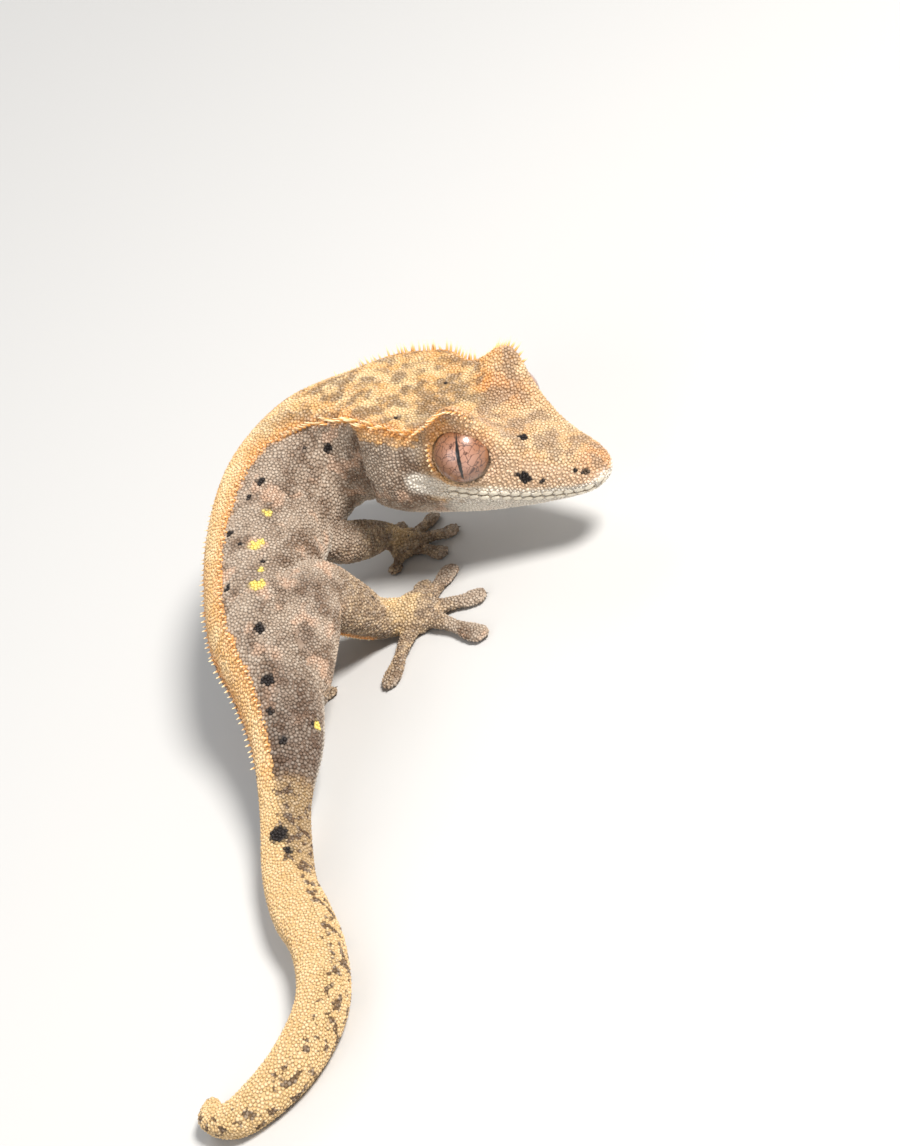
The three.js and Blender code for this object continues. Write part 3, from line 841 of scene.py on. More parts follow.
BLACK_SPOTS = (
    Spot(15.25, 68, 0.62), Spot(13.43, 50, 0.62), Spot(13.11, 44, 0.4), Spot(12.47, 32, 0.5),
    Spot(11.83, 70, 0.4), Spot(11.48, 32, 0.45), Spot(10.61, 62, 0.75), Spot(9.78, 52, 0.8),
    Spot(8.82, 62, 0.5), Spot(11.44, 112, 0.5), Spot(9.11, 112, 0.4), Spot(7.38, 28, 1.15),
    Spot(7.1, 44, 0.6), Spot(10.2, 58, 0.35), Spot(9.3, 44, 0.4), Spot(12.2, 46, 0.3),
    Spot(14.6, 62, 0.3), Spot(9.4, -52, 0.6), Spot(10.6, -44, 0.7), Spot(11.7, -58, 0.5),
    Spot(12.7, -47, 0.6), Spot(13.6, -66, 0.55), Spot(10.9, -80, 0.45), Spot(12.2, -92, 0.4),
    Spot(8.8, -40, 0.5), Spot(14.4, -54, 0.4),
)
GOLD_SPOTS = (
    Spot(12.82, 66, 0.59), Spot(12.12, 60, 0.70), Spot(12.2, 66, 0.56), Spot(11.38, 64, 0.70),
    Spot(11.38, 70, 0.59), Spot(9.14, 126, 0.63), Spot(11.66, 70, 0.45), Spot(12.3, -62, 0.70),
    Spot(11.2, -68, 0.63), Spot(13.0, -58, 0.56), Spot(9.9, -84, 0.56),
)
SNOUT_SPOTS = (
    (8.6, 22, 0.68), (7.9, 82, 0.85), (6.1, 86, 0.42), (8.7, 78, 0.4), (2.6, 62, 0.28),
    (9.4, -66, 0.7), (8.2, -80, 0.75), (17.0, 8, 0.3), (20.5, -12, 0.25), (22.5, 34, 0.35),
)


@dataclass(frozen=True)
class Places:
    """Places on the animal that the markings are worked out for."""

    points: np.ndarray
    station: np.ndarray
    angle: np.ndarray
    side: np.ndarray
    crest: np.ndarray
    edge: np.ndarray


@dataclass(frozen=True)
class Markings:
    """Where each colour of the animal lies, as masks from 0 to 1."""

    form: BodyForm
    tail_end: float = 8.25
    hip: float = 8.9
    neck: float = 15.6
    lip_width: tuple[float, float] = (0.8, 1.7)
    # Widths of the nostrils, the mouth line and the ears, which are painted dark as painted shade in these
    # openings.
    nostril_width: tuple[float, float] = (0.40, 0.62)
    mouth_width: tuple[float, float] = (0.08, 0.26)
    ear_width: tuple[float, float] = (0.35, 0.60)
    spot_ragged: float = 0.18
    gold_ragged: float = 0.20

    def masks(self, points: np.ndarray, u: np.ndarray, angle: np.ndarray,
              part: np.ndarray) -> dict[str, np.ndarray]:
        """Masks for points of the skin.

        Args:
            points: Points in millimetres.
            u: Their stations, or their place along a limb.
            angle: Their angles from the middle of the back.
            part: 0 on the body and the number of the leg otherwise.

        Returns:
            One array for each mask.
        """
        body = part == 0
        limb = 1.0 - body
        edge = (noise(points, 1.1) - 0.5) * 9 + (noise(points, 0.45) - 0.5) * 6
        crest = self.form.value("crest", np.clip(u, 0, self.form.last))
        at = Places(points, u, angle, np.abs(angle), crest, edge)
        band = self.band(at)
        tail = 1 - step(u + edge * 0.02, self.tail_end - 0.15, self.tail_end + 0.2)
        pale = self.pale(at) * body
        black = self.spots(points, BLACK_SPOTS, body, self.spot_ragged)
        return {
            "cream": self.cream(at, band, tail) * body,
            "orange": self.orange(at) * body,
            "mottle": step(u, 13.6, self.neck) * (1 - step(at.side, 44, 56)) * body,
            "pale": pale,
            "pink": self.pink(at) * body * (1 - pale),
            # Dark hip and tail root, with painted shade in the mouth line and the ears.
            "dark": self.dark(at, band) * body,
            "limb": self.lower_limbs(points) * limb,
            "foot": self.feet(points) * limb,
            "fringe": self.fringe(points) * limb,
            "speck": tail * body * (0.72 + 0.28 * step(angle, 0, 40)),
            # Black spots on the body and snout, with painted shade in the nostrils.
            "spot": np.clip(black + self.snout(points) + self.nostrils(points), 0, 1),
            "gold": self.spots(points, GOLD_SPOTS, body, self.gold_ragged),
        }

    def band(self, at: Places) -> np.ndarray:
        """Mask of the pale band between the two crests."""
        s = self.form.station_of_head
        cheek = 9 * step(at.station, self.neck, 16.6) * (1 - step(at.station, s(19.5), s(18.0)))
        return 1 - step(at.side + at.edge * 0.7, at.crest + cheek - 3, at.crest + cheek + 3)

    def cream(self, at: Places, band: np.ndarray, tail: np.ndarray) -> np.ndarray:
        """Mask of the cream back, tail and face."""
        s = self.form.station_of_head
        face = step(at.station, s(20.0), s(16.5)) * (1 - step(at.side + at.edge, 96, 106))
        return np.maximum(np.maximum(band, tail), face)

    def orange(self, at: Places) -> np.ndarray:
        """Mask of the orange crests, eye rims and tip of the snout."""
        s = self.form.station_of_head
        ridge = bump(at.side, at.crest, 7) * step(at.station, self.tail_end, 9.5)
        ridge = ridge * (1 - step(at.station, s(13.5), s(12.0)))
        rims = np.zeros(len(at.points))
        for way in Side:
            middle = self.form.inside_head(EyeShape.s, EyeShape.side * way.value, EyeShape.up)
            away = np.linalg.norm(at.points - middle, axis=1)
            ring = 1 - step(away, EyeShape.radius + 0.5, EyeShape.radius + 1.5)
            rims = np.maximum(rims, ring * (1 - step(at.side, 70, 95)))
        tip = step(at.station, s(3.2), s(1.6)) * (1 - step(at.side, 95, 125))
        return np.clip(ridge * 0.9 + rims + tip, 0, 1)

    def pale(self, at: Places) -> np.ndarray:
        """Mask of the white lips, throat and belly."""
        s = self.form.station_of_head
        low = at.side + at.edge
        jaw = step(low, 98, 108) * step(at.station, s(19), s(16))
        throat = 0.75 * step(low, 116, 140) * step(at.station, self.neck, 17)
        belly = 0.6 * step(low, 138, 160) * (at.station > self.tail_end)
        pale = np.maximum(np.maximum(jaw, throat), belly)
        for way in Side:
            away = Face(self.form, way).from_mouth(at.points)
            pale = np.maximum(pale, 1 - step(away + at.edge * 0.03, *self.lip_width))
        return pale

    def pink(self, at: Places) -> np.ndarray:
        """Mask of the warm grey of the snout."""
        s = self.form.station_of_head
        return step(at.station, s(17), s(14)) * (0.45 + 0.55 * step(at.side, 48, 64))

    def dark(self, at: Places, band: np.ndarray) -> np.ndarray:
        """Mask of the dark hip and the side of the tail's root, with painted shade in the mouth line and
        the ears.
        """
        u = at.station
        hip = np.where(u < self.hip, 1.0, bump(u, self.hip, 0.75)) * (1 - band) * step(u, 8.0, 8.4)
        root = 0.7 * step(at.angle + at.edge, 34, 52) * step(u, 6.2, 7.6) * (u < 8.4)
        dark = np.maximum(hip, root)
        # Painted shade in the mouth line and the ear openings.
        for way in Side:
            face = Face(self.form, way)
            dark = np.maximum(dark, 1 - step(face.from_mouth(at.points), *self.mouth_width))
            dark = np.maximum(dark, 1 - step(face.from_ear(at.points), *self.ear_width))
        return dark

    def nostrils(self, points: np.ndarray) -> np.ndarray:
        """Mask of the nostrils, painted dark as painted shade in the openings."""
        total = np.zeros(len(points))
        for way in Side:
            away = Face(self.form, way).from_nostril(points)
            total = np.maximum(total, 1 - step(away, *self.nostril_width))
        return total

    def lower_limbs(self, points: np.ndarray) -> np.ndarray:
        """Mask of the limbs below the knee or elbow."""
        total = np.zeros(len(points))
        for leg in LEGS:
            reach = (7.0, 11.0) if leg.hind else (5.5, 9.0)
            distance = np.linalg.norm(points - np.array(leg.ankle), axis=1) + (noise(points, 1.3) - 0.5) * 2
            total = np.maximum(total, 1 - step(distance, *reach))
        return total

    def feet(self, points: np.ndarray) -> np.ndarray:
        """Mask of the pale patch on the back of each foot."""
        total = np.zeros(len(points))
        wobble = (noise(points, 0.8) - 0.5) * 1.6
        for leg in LEGS:
            middle = np.array(leg.palm) * 0.7 + np.array(leg.ankle) * 0.3
            distance = np.linalg.norm((points - middle) * np.array([1, 1, 0.5]), axis=1) + wobble
            total = np.maximum(total, 1 - step(distance, leg.sole * 0.45, leg.sole * 0.95))
        return total

    def fringe(self, points: np.ndarray) -> np.ndarray:
        """Mask of the pale fringe behind the hind legs."""
        near = np.full(len(points), 9.0)
        for leg in LEGS:
            if leg.hind:
                for q in fringe_line(leg, 18)[0]:
                    near = np.minimum(near, np.linalg.norm(points - q, axis=1))
        return 1 - step(near + (noise(points, 0.6) - 0.5) * 0.6, 0.5, 1.2)

    def spots(self, points: np.ndarray, spots: tuple[Spot, ...], body: np.ndarray,
              ragged: float) -> np.ndarray:
        """Mask of spots with ragged edges."""
        total = np.zeros(len(points))
        wobble = (noise(points, 0.5) - 0.5) * 2 * ragged
        for spot in spots:
            middle = self.form.surface(np.array(spot.u), np.array(float(spot.angle)))
            distance = np.linalg.norm(points - middle, axis=1) + wobble
            total = np.maximum(total, 1 - step(distance, spot.radius * 0.8, spot.radius * 1.1))
        return total * body

    def snout(self, points: np.ndarray) -> np.ndarray:
        """Mask of the spots on the snout."""
        total = np.zeros(len(points))
        wobble = (noise(points, 0.5) - 0.5) * 0.3
        for s, angle, radius in SNOUT_SPOTS:
            middle = self.form.surface(np.array(self.form.station_of_head(s)), np.array(float(angle)))
            distance = np.linalg.norm(points - middle, axis=1) + wobble
            total = np.maximum(total, 1 - step(distance, radius * 0.75, radius))
        return total


# Geometry node trees


class Tree:
    """Small helper that builds one geometry node tree."""

    def __init__(self, name: str) -> None:
        """Starts an empty tree with its geometry sockets."""
        self.group = bpy.data.node_groups.new(name, "GeometryNodeTree")
        face = self.group.interface
        face.new_socket("Geometry", in_out="INPUT", socket_type="NodeSocketGeometry")
        face.new_socket("Geometry", in_out="OUTPUT", socket_type="NodeSocketGeometry")
        self.ids: dict[str, str] = {}

    def input(self, name: str, kind: str) -> None:
        """Adds a named input."""
        socket = self.group.interface.new_socket(name, in_out="INPUT", socket_type=kind)
        self.ids[name] = socket.identifier

    def node(self, kind: str, settings: dict | None = None, values: dict | None = None) -> bpy.types.Node:
        """Adds a node.

        Args:
            kind: Type of the node.
            settings: Properties, set before the sockets.
            values: Values or sockets by the input's name or number.

        Returns:
            The node.
        """
        node = self.group.nodes.new(kind)
        for key, value in (settings or {}).items():
            setattr(node, key, value)
        for key, value in (values or {}).items():
            socket = node.inputs[key]
            if isinstance(value, bpy.types.NodeSocket):
                self.group.links.new(value, socket)
            else:
                socket.default_value = value
        return node

    def finish(self, geometry: bpy.types.NodeSocket, material: bpy.types.NodeSocket) -> None:
        """Ends the tree with its material and its output."""
        dress = self.node("GeometryNodeSetMaterial", {}, {"Geometry": geometry, "Material": material})
        self.node("NodeGroupOutput", {}, {"Geometry": dress.outputs[0]})

    def apply(self, obj: bpy.types.Object, values: dict) -> None:
        """Runs the tree on an object and keeps the result as its mesh."""
        modifier = obj.modifiers.new(self.group.name, "NODES")
        modifier.node_group = self.group
        for name, value in values.items():
            modifier[self.ids[name]] = value
        plain(obj)


def scale_tree() -> Tree:
    """Tree that strews scales over the part of a skin where an attribute is 1."""
    tree = Tree("Scales")
    tree.input("Scale", "NodeSocketObject")
    tree.input("Zone", "NodeSocketString")
    tree.input("Spacing", "NodeSocketFloat")
    tree.input("Size", "NodeSocketFloat")
    tree.input("Seed", "NodeSocketInt")
    tree.input("Finish", "NodeSocketMaterial")
    start = tree.node("NodeGroupInput").outputs
    zone = tree.node("GeometryNodeInputNamedAttribute", {"data_type": "FLOAT"}, {"Name": start["Zone"]})
    spread = tree.node("GeometryNodeDistributePointsOnFaces", {"distribute_method": "POISSON"}, {
        "Mesh": start["Geometry"], "Distance Min": start["Spacing"], "Density Max": 60.0,
        "Density Factor": zone.outputs["Attribute"], "Seed": start["Seed"]})
    turn = tree.node("FunctionNodeRandomValue", {"data_type": "FLOAT"}, {2: 0.0, 3: 6.28, "Seed": 3})
    spin = tree.node("FunctionNodeAxisAngleToRotation", {}, {"Axis": (0, 0, 1), "Angle": turn.outputs[1]})
    aim = tree.node("FunctionNodeRotateRotation", {"rotation_space": "LOCAL"}, {
        "Rotation": spread.outputs["Rotation"], "Rotate By": spin.outputs["Rotation"]})
    vary = tree.node("FunctionNodeRandomValue", {"data_type": "FLOAT"}, {2: 0.82, 3: 1.18, "Seed": 5})
    size = tree.node("ShaderNodeMath", {"operation": "MULTIPLY"}, {0: vary.outputs[1], 1: start["Size"]})
    shape = tree.node("GeometryNodeObjectInfo", {"transform_space": "ORIGINAL"}, {"Object": start["Scale"]})
    put = tree.node("GeometryNodeInstanceOnPoints", {}, {
        "Points": spread.outputs["Points"], "Instance": shape.outputs["Geometry"],
        "Rotation": aim.outputs["Rotation"], "Scale": size.outputs[0]})
    grain = tree.node("FunctionNodeRandomValue", {"data_type": "FLOAT"}, {2: 0.0, 3: 1.0, "Seed": 7})
    store = tree.node("GeometryNodeStoreNamedAttribute", {"data_type": "FLOAT", "domain": "INSTANCE"}, {
        "Geometry": put.outputs["Instances"], "Name": "grain", "Value": grain.outputs[1]})
    real = tree.node("GeometryNodeRealizeInstances", {}, {"Geometry": store.outputs["Geometry"]})
    tree.finish(real.outputs[0], start["Finish"])
    return tree


def stud_tree() -> Tree:
    """Tree that sets one shape on each point, turned and sized by the point's own attributes."""
    tree = Tree("Studs")
    tree.input("Shape", "NodeSocketObject")
    tree.input("Finish", "NodeSocketMaterial")
    start = tree.node("NodeGroupInput").outputs
    vectors = {
        name: tree.node("GeometryNodeInputNamedAttribute", {"data_type": "FLOAT_VECTOR"}, {"Name": name})
        for name in ("aim", "along", "size")
    }
    turn = tree.node("FunctionNodeAxesToRotation", {"primary_axis": "Z", "secondary_axis": "X"}, {
        "Primary Axis": vectors["aim"].outputs["Attribute"],
        "Secondary Axis": vectors["along"].outputs["Attribute"]})
    shape = tree.node("GeometryNodeObjectInfo", {"transform_space": "ORIGINAL"}, {"Object": start["Shape"]})
    points = tree.node("GeometryNodeMeshToPoints", {}, {"Mesh": start["Geometry"], "Radius": 0.05})
    put = tree.node("GeometryNodeInstanceOnPoints", {}, {
        "Points": points.outputs[0], "Instance": shape.outputs["Geometry"],
        "Rotation": turn.outputs[0], "Scale": vectors["size"].outputs["Attribute"]})
    real = tree.node("GeometryNodeRealizeInstances", {}, {"Geometry": put.outputs["Instances"]})
    tree.finish(real.outputs[0], start["Finish"])
    return tree


# Finishes


class Sock:
    """A shader socket that takes part in arithmetic."""

    def __init__(self, paint: "Paint", socket: bpy.types.NodeSocket) -> None:
        """Wraps one output of a paint's nodes."""
        self.paint = paint
        self.socket = socket

    def _math(self, operation: str, a: "Sock | float", b: "Sock | float") -> "Sock":
        """Adds one Math node."""
        return self.paint.node("ShaderNodeMath", {"operation": operation}, {0: a, 1: b})

    def __add__(self, other: "Sock | float") -> "Sock":
        """Sum."""
        return self._math("ADD", self, other)

    __radd__ = __add__

    def __mul__(self, other: "Sock | float") -> "Sock":
        """Product."""
        return self._math("MULTIPLY", self, other)

    __rmul__ = __mul__

    def __sub__(self, other: "Sock | float") -> "Sock":
        """Difference."""
        return self._math("SUBTRACT", self, other)

    def __rsub__(self, other: float) -> "Sock":
        """Difference from a number."""
        return self._math("SUBTRACT", other, self)

    def __truediv__(self, other: "Sock | float") -> "Sock":
        """Quotient."""
        return self._math("DIVIDE", self, other)

    def __pow__(self, other: float) -> "Sock":
        """Power."""
        return self._math("POWER", self, other)

    def above(self, low: float, high: float) -> "Sock":
        """Smooth step from 0 at low to 1 at high."""
        return self.paint.node("ShaderNodeMapRange", {"interpolation_type": "SMOOTHSTEP"},
                               {"Value": self, "From Min": low, "From Max": high})


Colour = tuple[float, float, float]


def srgb(red: int, green: int, blue: int) -> Colour:
    """Linear colour of an sRGB triple of 0 to 255."""
    def line(v: float) -> float:
        """Linear value of one channel."""
        v = v / 255
        return v / 12.92 if v <= 0.04045 else ((v + 0.055) / 1.055) ** 2.4
    return (line(red), line(green), line(blue))


class Paint:
    """Builds one material, node by node."""

    def __init__(self, name: str) -> None:
        """Starts a material with its surface node."""
        self.material = bpy.data.materials.new(name)
        self.material.use_nodes = True
        self.tree = self.material.node_tree
        self.shader = self.tree.nodes["Principled BSDF"]

    def node(self, kind: str, settings: dict, values: dict, output: int | str = 0) -> Sock:
        """Adds a node.

        Args:
            kind: Type of the node.
            settings: Properties, set first.
            values: Numbers, colours or sockets for the inputs.
            output: Name or number of the output.

        Returns:
            The output.
        """
        node = self.tree.nodes.new(kind)
        for key, value in settings.items():
            setattr(node, key, value)
        for key, value in values.items():
            self.put(node.inputs[key], value)
        return Sock(self, node.outputs[output])

    def put(self, socket: bpy.types.NodeSocket, value: object) -> None:
        """Sets or links one input."""
        if isinstance(value, Sock):
            self.tree.links.new(value.socket, socket)
        elif isinstance(value, tuple) and len(value) == 3 and socket.type == "RGBA":
            socket.default_value = (*value, 1.0)
        else:
            socket.default_value = value

    def mask(self, name: str) -> Sock:
        """Number that the mesh carries."""
        return self.node("ShaderNodeAttribute", {"attribute_name": name}, {}, "Fac")

    def mix(self, factor: Sock | float, a: object, b: object) -> Sock:
        """Mix of two colours."""
        node = self.tree.nodes.new("ShaderNodeMix")
        node.data_type = "RGBA"
        self.put(node.inputs[0], factor)
        self.put(node.inputs[6], a)
        self.put(node.inputs[7], b)
        return Sock(self, node.outputs[2])

    def place(self) -> Sock:
        """Object coordinates, in metres."""
        return self.node("ShaderNodeTexCoord", {}, {}, "Object")

    def noise(self, size: float, detail: float = 2.0, offset: float = 0.0) -> Sock:
        """Noise with features of a size in metres."""
        move = (offset, offset, offset)
        at = self.node("ShaderNodeVectorMath", {"operation": "ADD"}, {0: self.place(), 1: move})
        values = {"Vector": at, "Scale": 1 / size, "Detail": detail}
        return self.node("ShaderNodeTexNoise", {}, values, "Fac")

    def cells(self, size: float) -> Sock:
        """Distance to the middle of the nearest cell."""
        values = {"Vector": self.place(), "Scale": 1 / size}
        return self.node("ShaderNodeTexVoronoi", {"feature": "F1"}, values, "Distance")

    def set(self, **values: object) -> None:
        """Sets the surface's own sockets, with spaces for underscores."""
        for key, value in values.items():
            self.put(self.shader.inputs[key.replace("_", " ")], value)


@dataclass(frozen=True)
class HideFinish:
    """Scaly hide with the animal's markings, and painted shade in the mouth line, ears, nostrils and
    between the scales.
    """

    flank: Colour = srgb(180, 160, 140)
    flank_shade: Colour = srgb(128, 104, 84)
    flank_blush: Colour = srgb(208, 172, 144)
    cream: Colour = srgb(228, 178, 112)
    cream_light: Colour = srgb(236, 202, 148)
    orange: Colour = srgb(228, 154, 74)
    mottle: Colour = srgb(130, 102, 72)
    tail: Colour = srgb(224, 188, 132)
    speck: Colour = srgb(96, 68, 40)
    pink: Colour = srgb(214, 182, 152)
    pale: Colour = srgb(238, 230, 216)
    # Dark markings, and also the painted shade in the mouth line, the ears and between the scales.
    dark: Colour = srgb(84, 60, 44)
    limb: Colour = srgb(142, 118, 94)
    limb_cream: Colour = srgb(204, 176, 140)
    # Black spots, and also the painted shade in the nostrils.
    black: Colour = srgb(28, 18, 14)
    gold: Colour = srgb(244, 220, 112)

    def make(self, name: str, under: bool) -> bpy.types.Material:
        """Material of the skin or of the scales on it.

        Args:
            name: The material's name.
            under: True for the skin between the scales, which is darkened a little as painted shade.

        Returns:
            The material.
        """
        p = Paint(name)
        broad = p.noise(0.0031, 3.0)
        fine = p.noise(0.0009, 3.0, 0.3)
        tiny = p.noise(0.00035, 2.0, 0.7)
        flank = p.mix(broad.above(0.42, 0.66), self.flank, self.flank_shade)
        flank = p.mix(p.noise(0.0030, 3.0, 0.9).above(0.55, 0.66) * 0.8, flank, self.flank_blush)
        flank = p.mix(p.noise(0.0013, 4.0, 1.7).above(0.56, 0.70) * 0.26, flank, self.dark)
        cream = p.mix(broad.above(0.35, 0.65), self.cream_light, self.cream)
        cream = p.mix(p.mask("speck"), cream, self.tail)
        cream = p.mix(p.mask("orange") * 0.8, cream, self.orange)
        brown = p.mask("mottle") * p.noise(0.0019, 5.0, 0.5).above(0.42, 0.58) * 0.75
        cream = p.mix(brown, cream, self.mottle)
        specks = (p.noise(0.0010, 3.0, 1.3) * p.mask("speck")).above(0.53, 0.60)
        cream = p.mix(specks * 0.92, cream, self.speck)
        cream = p.mix(p.mask("pink") * 0.8, cream, self.pink)
        colour = p.mix(p.mask("cream"), flank, cream)
        limb = p.mix((fine + tiny * 0.6).above(0.70, 1.05), self.limb, self.limb_cream)
        limb = p.mix(p.mask("foot") * (0.55 + broad.above(0.4, 0.6) * 0.4), limb, self.cream_light)
        limb = p.mix(p.noise(0.0011, 2.0, 2.1).above(0.68, 0.71) * 0.9, limb, self.black)
        colour = p.mix(p.mask("limb"), colour, limb)
        colour = p.mix(p.mask("fringe"), colour, self.orange)
        # Dark hip and tail root, and painted shade in the mouth line and the ears.
        colour = p.mix(p.mask("dark") * 0.75, colour, self.dark)
        colour = p.mix(p.mask("pale") * 0.85, colour, self.pale)
        if under:
            # The skin between the scales is darkened a little toward the dark colour: painted shade in the
            # gaps between the scales.
            colour = p.mix(0.22, colour, self.dark)
            height = 1.0 - p.cells(0.00042)
        else:
            tone = p.mask("grain").above(0.0, 1.0)
            colour = p.mix(tone * 0.16, colour, self.pale)
            colour = p.mix((1.0 - tone) * 0.12, colour, self.dark)
            height = tiny
        colour = p.mix(p.mask("gold") * 0.9, colour, self.gold)
        # Black spots, and painted shade in the nostrils.
        colour = p.mix(p.mask("spot"), colour, self.black)
        p.set(Roughness=0.62)
        relief = {"Height": height, "Strength": 0.35, "Distance": 0.0001}
        normal = p.node("ShaderNodeBump", {}, relief, "Normal")
        p.set(Base_Color=colour, Normal=normal)
        p.shader.inputs["Subsurface Weight"].default_value = 0.0
        return p.material


@dataclass(frozen=True)
class SpineFinish:
    """Horn of the crest spines, orange at the root and pale at the tip."""

    root: Colour = srgb(228, 162, 82)
    tip: Colour = srgb(250, 232, 190)

    def make(self, name: str) -> bpy.types.Material:
        """Material of the spines."""
        p = Paint(name)
        grain = p.noise(0.0006, 2.0).above(0.3, 0.7) * 0.25
        colour = p.mix(p.mask("tip").above(0.05, 0.75), self.root, self.tip)
        p.set(Base_Color=p.mix(grain, colour, self.root), Roughness=0.45)
        return p.material


@dataclass(frozen=True)
class EyeFinish:
    """Copper iris with brown veins, a slit pupil and a wet surface."""

    iris: Colour = srgb(186, 138, 116)
    iris_warm: Colour = srgb(150, 100, 68)
    vein: Colour = srgb(66, 32, 20)
    pupil: Colour = srgb(10, 6, 5)
    ring: Colour = srgb(28, 16, 10)

    def make(self, name: str) -> bpy.types.Material:
        """Material of the eyeballs, which reads their iris map."""
        p = Paint(name)
        at = p.node("ShaderNodeUVMap", {"uv_map": "Iris"}, {})
        x, y = self.split(p, at)
        radius = (x * x + y * y) ** 0.5
        wave = p.node("ShaderNodeTexNoise", {}, {"Vector": at, "Scale": 9.0, "Detail": 1.0}, "Fac")
        width = (1.0 - (y / 0.84) * (y / 0.84)) * 0.062 + (wave - 0.5) * 0.05
        gap = (x * x) ** 0.5 - width
        pupil = 1.0 - gap.above(-0.01, 0.012)
        warp = p.node("ShaderNodeTexNoise", {}, {"Vector": at, "Scale": 7.0, "Detail": 4.0}, "Fac")
        lines = p.node("ShaderNodeTexVoronoi", {"feature": "DISTANCE_TO_EDGE"}, {
            "Vector": self.shift(p, at, warp), "Scale": 10.0}, "Distance")
        vein = (1.0 - lines.above(0.0, 0.075)) * 0.9
        colour = p.mix(radius.above(0.25, 0.8), self.iris, self.iris_warm)
        colour = p.mix(vein, colour, self.vein)
        colour = p.mix(pupil, colour, self.pupil)
        colour = p.mix(radius.above(0.84, 0.90), colour, self.ring)
        p.set(Base_Color=colour, Roughness=0.35, Coat_Weight=1.0)
        p.shader.inputs["Coat Roughness"].default_value = 0.03
        return p.material

    @staticmethod
    def split(p: Paint, at: Sock) -> tuple[Sock, Sock]:
        """The two coordinates of the iris map, from -1 to 1."""
        node = p.tree.nodes.new("ShaderNodeSeparateXYZ")
        p.put(node.inputs[0], at)
        return Sock(p, node.outputs[0]) * 2.0 - 1.0, Sock(p, node.outputs[1]) * 2.0 - 1.0

    @staticmethod
    def shift(p: Paint, at: Sock, warp: Sock) -> Sock:
        """The iris map with a wavering added to it."""
        grow = p.node("ShaderNodeCombineXYZ", {}, {0: warp * 0.22, 1: warp * 0.3, 2: 0.0})
        return p.node("ShaderNodeVectorMath", {"operation": "ADD"}, {0: at, 1: grow})


@dataclass(frozen=True)
class PlainFinish:
    """Smooth matt finish for the studio floor."""

    colour: Colour = (0.60, 0.59, 0.575)

    def make(self, name: str) -> bpy.types.Material:
        """Material of the floor."""
        p = Paint(name)
        p.set(Base_Color=self.colour, Roughness=0.9)
        return p.material


# Coat


PATCH = 0.0026  # width of one scale on the unwrap


@dataclass(frozen=True)
class ScaleCoat:
    """Small domed scales over one zone of the skin."""

    zone: Zone
    spacing: float
    seed: int
    size: float = 0.72

    def attribute(self) -> str:
        """Name of the zone's mask on the skin."""
        return f"zone_{self.zone.value}"

    def build(self, skin: bpy.types.Object, cloud: Cloud, marks: Markings, tree: Tree,
              finish: bpy.types.Material) -> bpy.types.Object:
        """Strews the scales and gives them their marks and unwrap.

        Args:
            skin: The skin in millimetres, with the zone's mask.
            cloud: Samples of the skin.
            marks: The animal's markings.
            tree: Tree that strews scales.
            finish: Material of the scales.

        Returns:
            One mesh of scales.
        """
        shape = new_object("scale_form", scale_mesh())
        obj = new_object(f"scales_{self.zone.value}", skin.data.copy())
        tree.apply(obj, {
            "Scale": shape, "Zone": self.attribute(), "Spacing": self.spacing,
            "Size": self.spacing * self.size, "Seed": self.seed, "Finish": finish})
        bpy.data.objects.remove(shape)
        each = len(scale_points())
        co = coordinates(obj.data)
        middles = co.reshape(-1, each, 3).mean(1)
        place = cloud.read(middles)
        masks = marks.masks(middles, place["station"], place["angle"], place["part"])
        for name, values in masks.items():
            write_attribute(obj.data, name, np.repeat(values, each))
        lay_patches(obj.data, place["uv"], scale_points())
        smooth(obj.data)
        log.info("%s: %d scales, %d triangles", obj.name, len(middles), len(middles) * len(scale_faces()))
        return obj


def lay_patches(mesh: bpy.types.Mesh, roots: np.ndarray, form: np.ndarray) -> None:
    """Lays every copy of a form as a small patch round its root's place.

    Args:
        mesh: Mesh made of whole copies of the form, one after another.
        roots: Place of each copy on the unwrap of the skin.
        form: Points of the form, with its root at the origin.
    """
    flat = form[:, :2] * (PATCH / 2 / np.abs(form[:, :2]).max())
    write_map(mesh, "OFBake", (roots[:, None, :] + flat[None, :, :]).reshape(-1, 2))


class Studs:
    """Copies of one small form, each with its place, aim, turn and size."""

    def __init__(self, name: str) -> None:
        """Starts an empty set."""
        self.name = name
        self.places: list[np.ndarray] = []
        self.rows: dict[str, list] = {"aim": [], "along": [], "size": []}

    def add(self, place: np.ndarray, aim: np.ndarray, along: np.ndarray,
            size: tuple[float, float, float]) -> None:
        """Adds one copy.

        Args:
            place: Where the form's root sits.
            aim: Way of the form's own Z.
            along: Way that the form's own X is turned to.
            size: Scale along the form's own axes.
        """
        self.places.append(place)
        self.rows["aim"].append(aim)
        self.rows["along"].append(along)
        self.rows["size"].append(size)

    def build(self, form: bpy.types.Object, cloud: Cloud, tree: Tree,
              finish: bpy.types.Material) -> bpy.types.Object:
        """Makes the copies as one plain mesh, with their unwrap.

        Args:
            form: The form to copy, which is removed afterwards.
            cloud: Samples of the skin.
            tree: Tree that sets the copies.
            finish: Material of the copies.

        Returns:
            The object.
        """
        mesh = bpy.data.meshes.new(self.name)
        mesh.from_pydata([tuple(p) for p in self.places], [], [])
        for key, row in self.rows.items():
            layer = mesh.attributes.new(key, "FLOAT_VECTOR", "POINT")
            layer.data.foreach_set("vector", np.array(row, np.float32).ravel())
        obj = new_object(self.name, mesh)
        points = coordinates(form.data)
        tree.apply(obj, {"Shape": form, "Finish": finish})
        bpy.data.objects.remove(form)
        middles = coordinates(obj.data).reshape(-1, len(points), 3).mean(1)
        lay_patches(obj.data, cloud.read(middles)["uv"], points)
        log.info("%s: %d copies", obj.name, len(middles))
        return obj


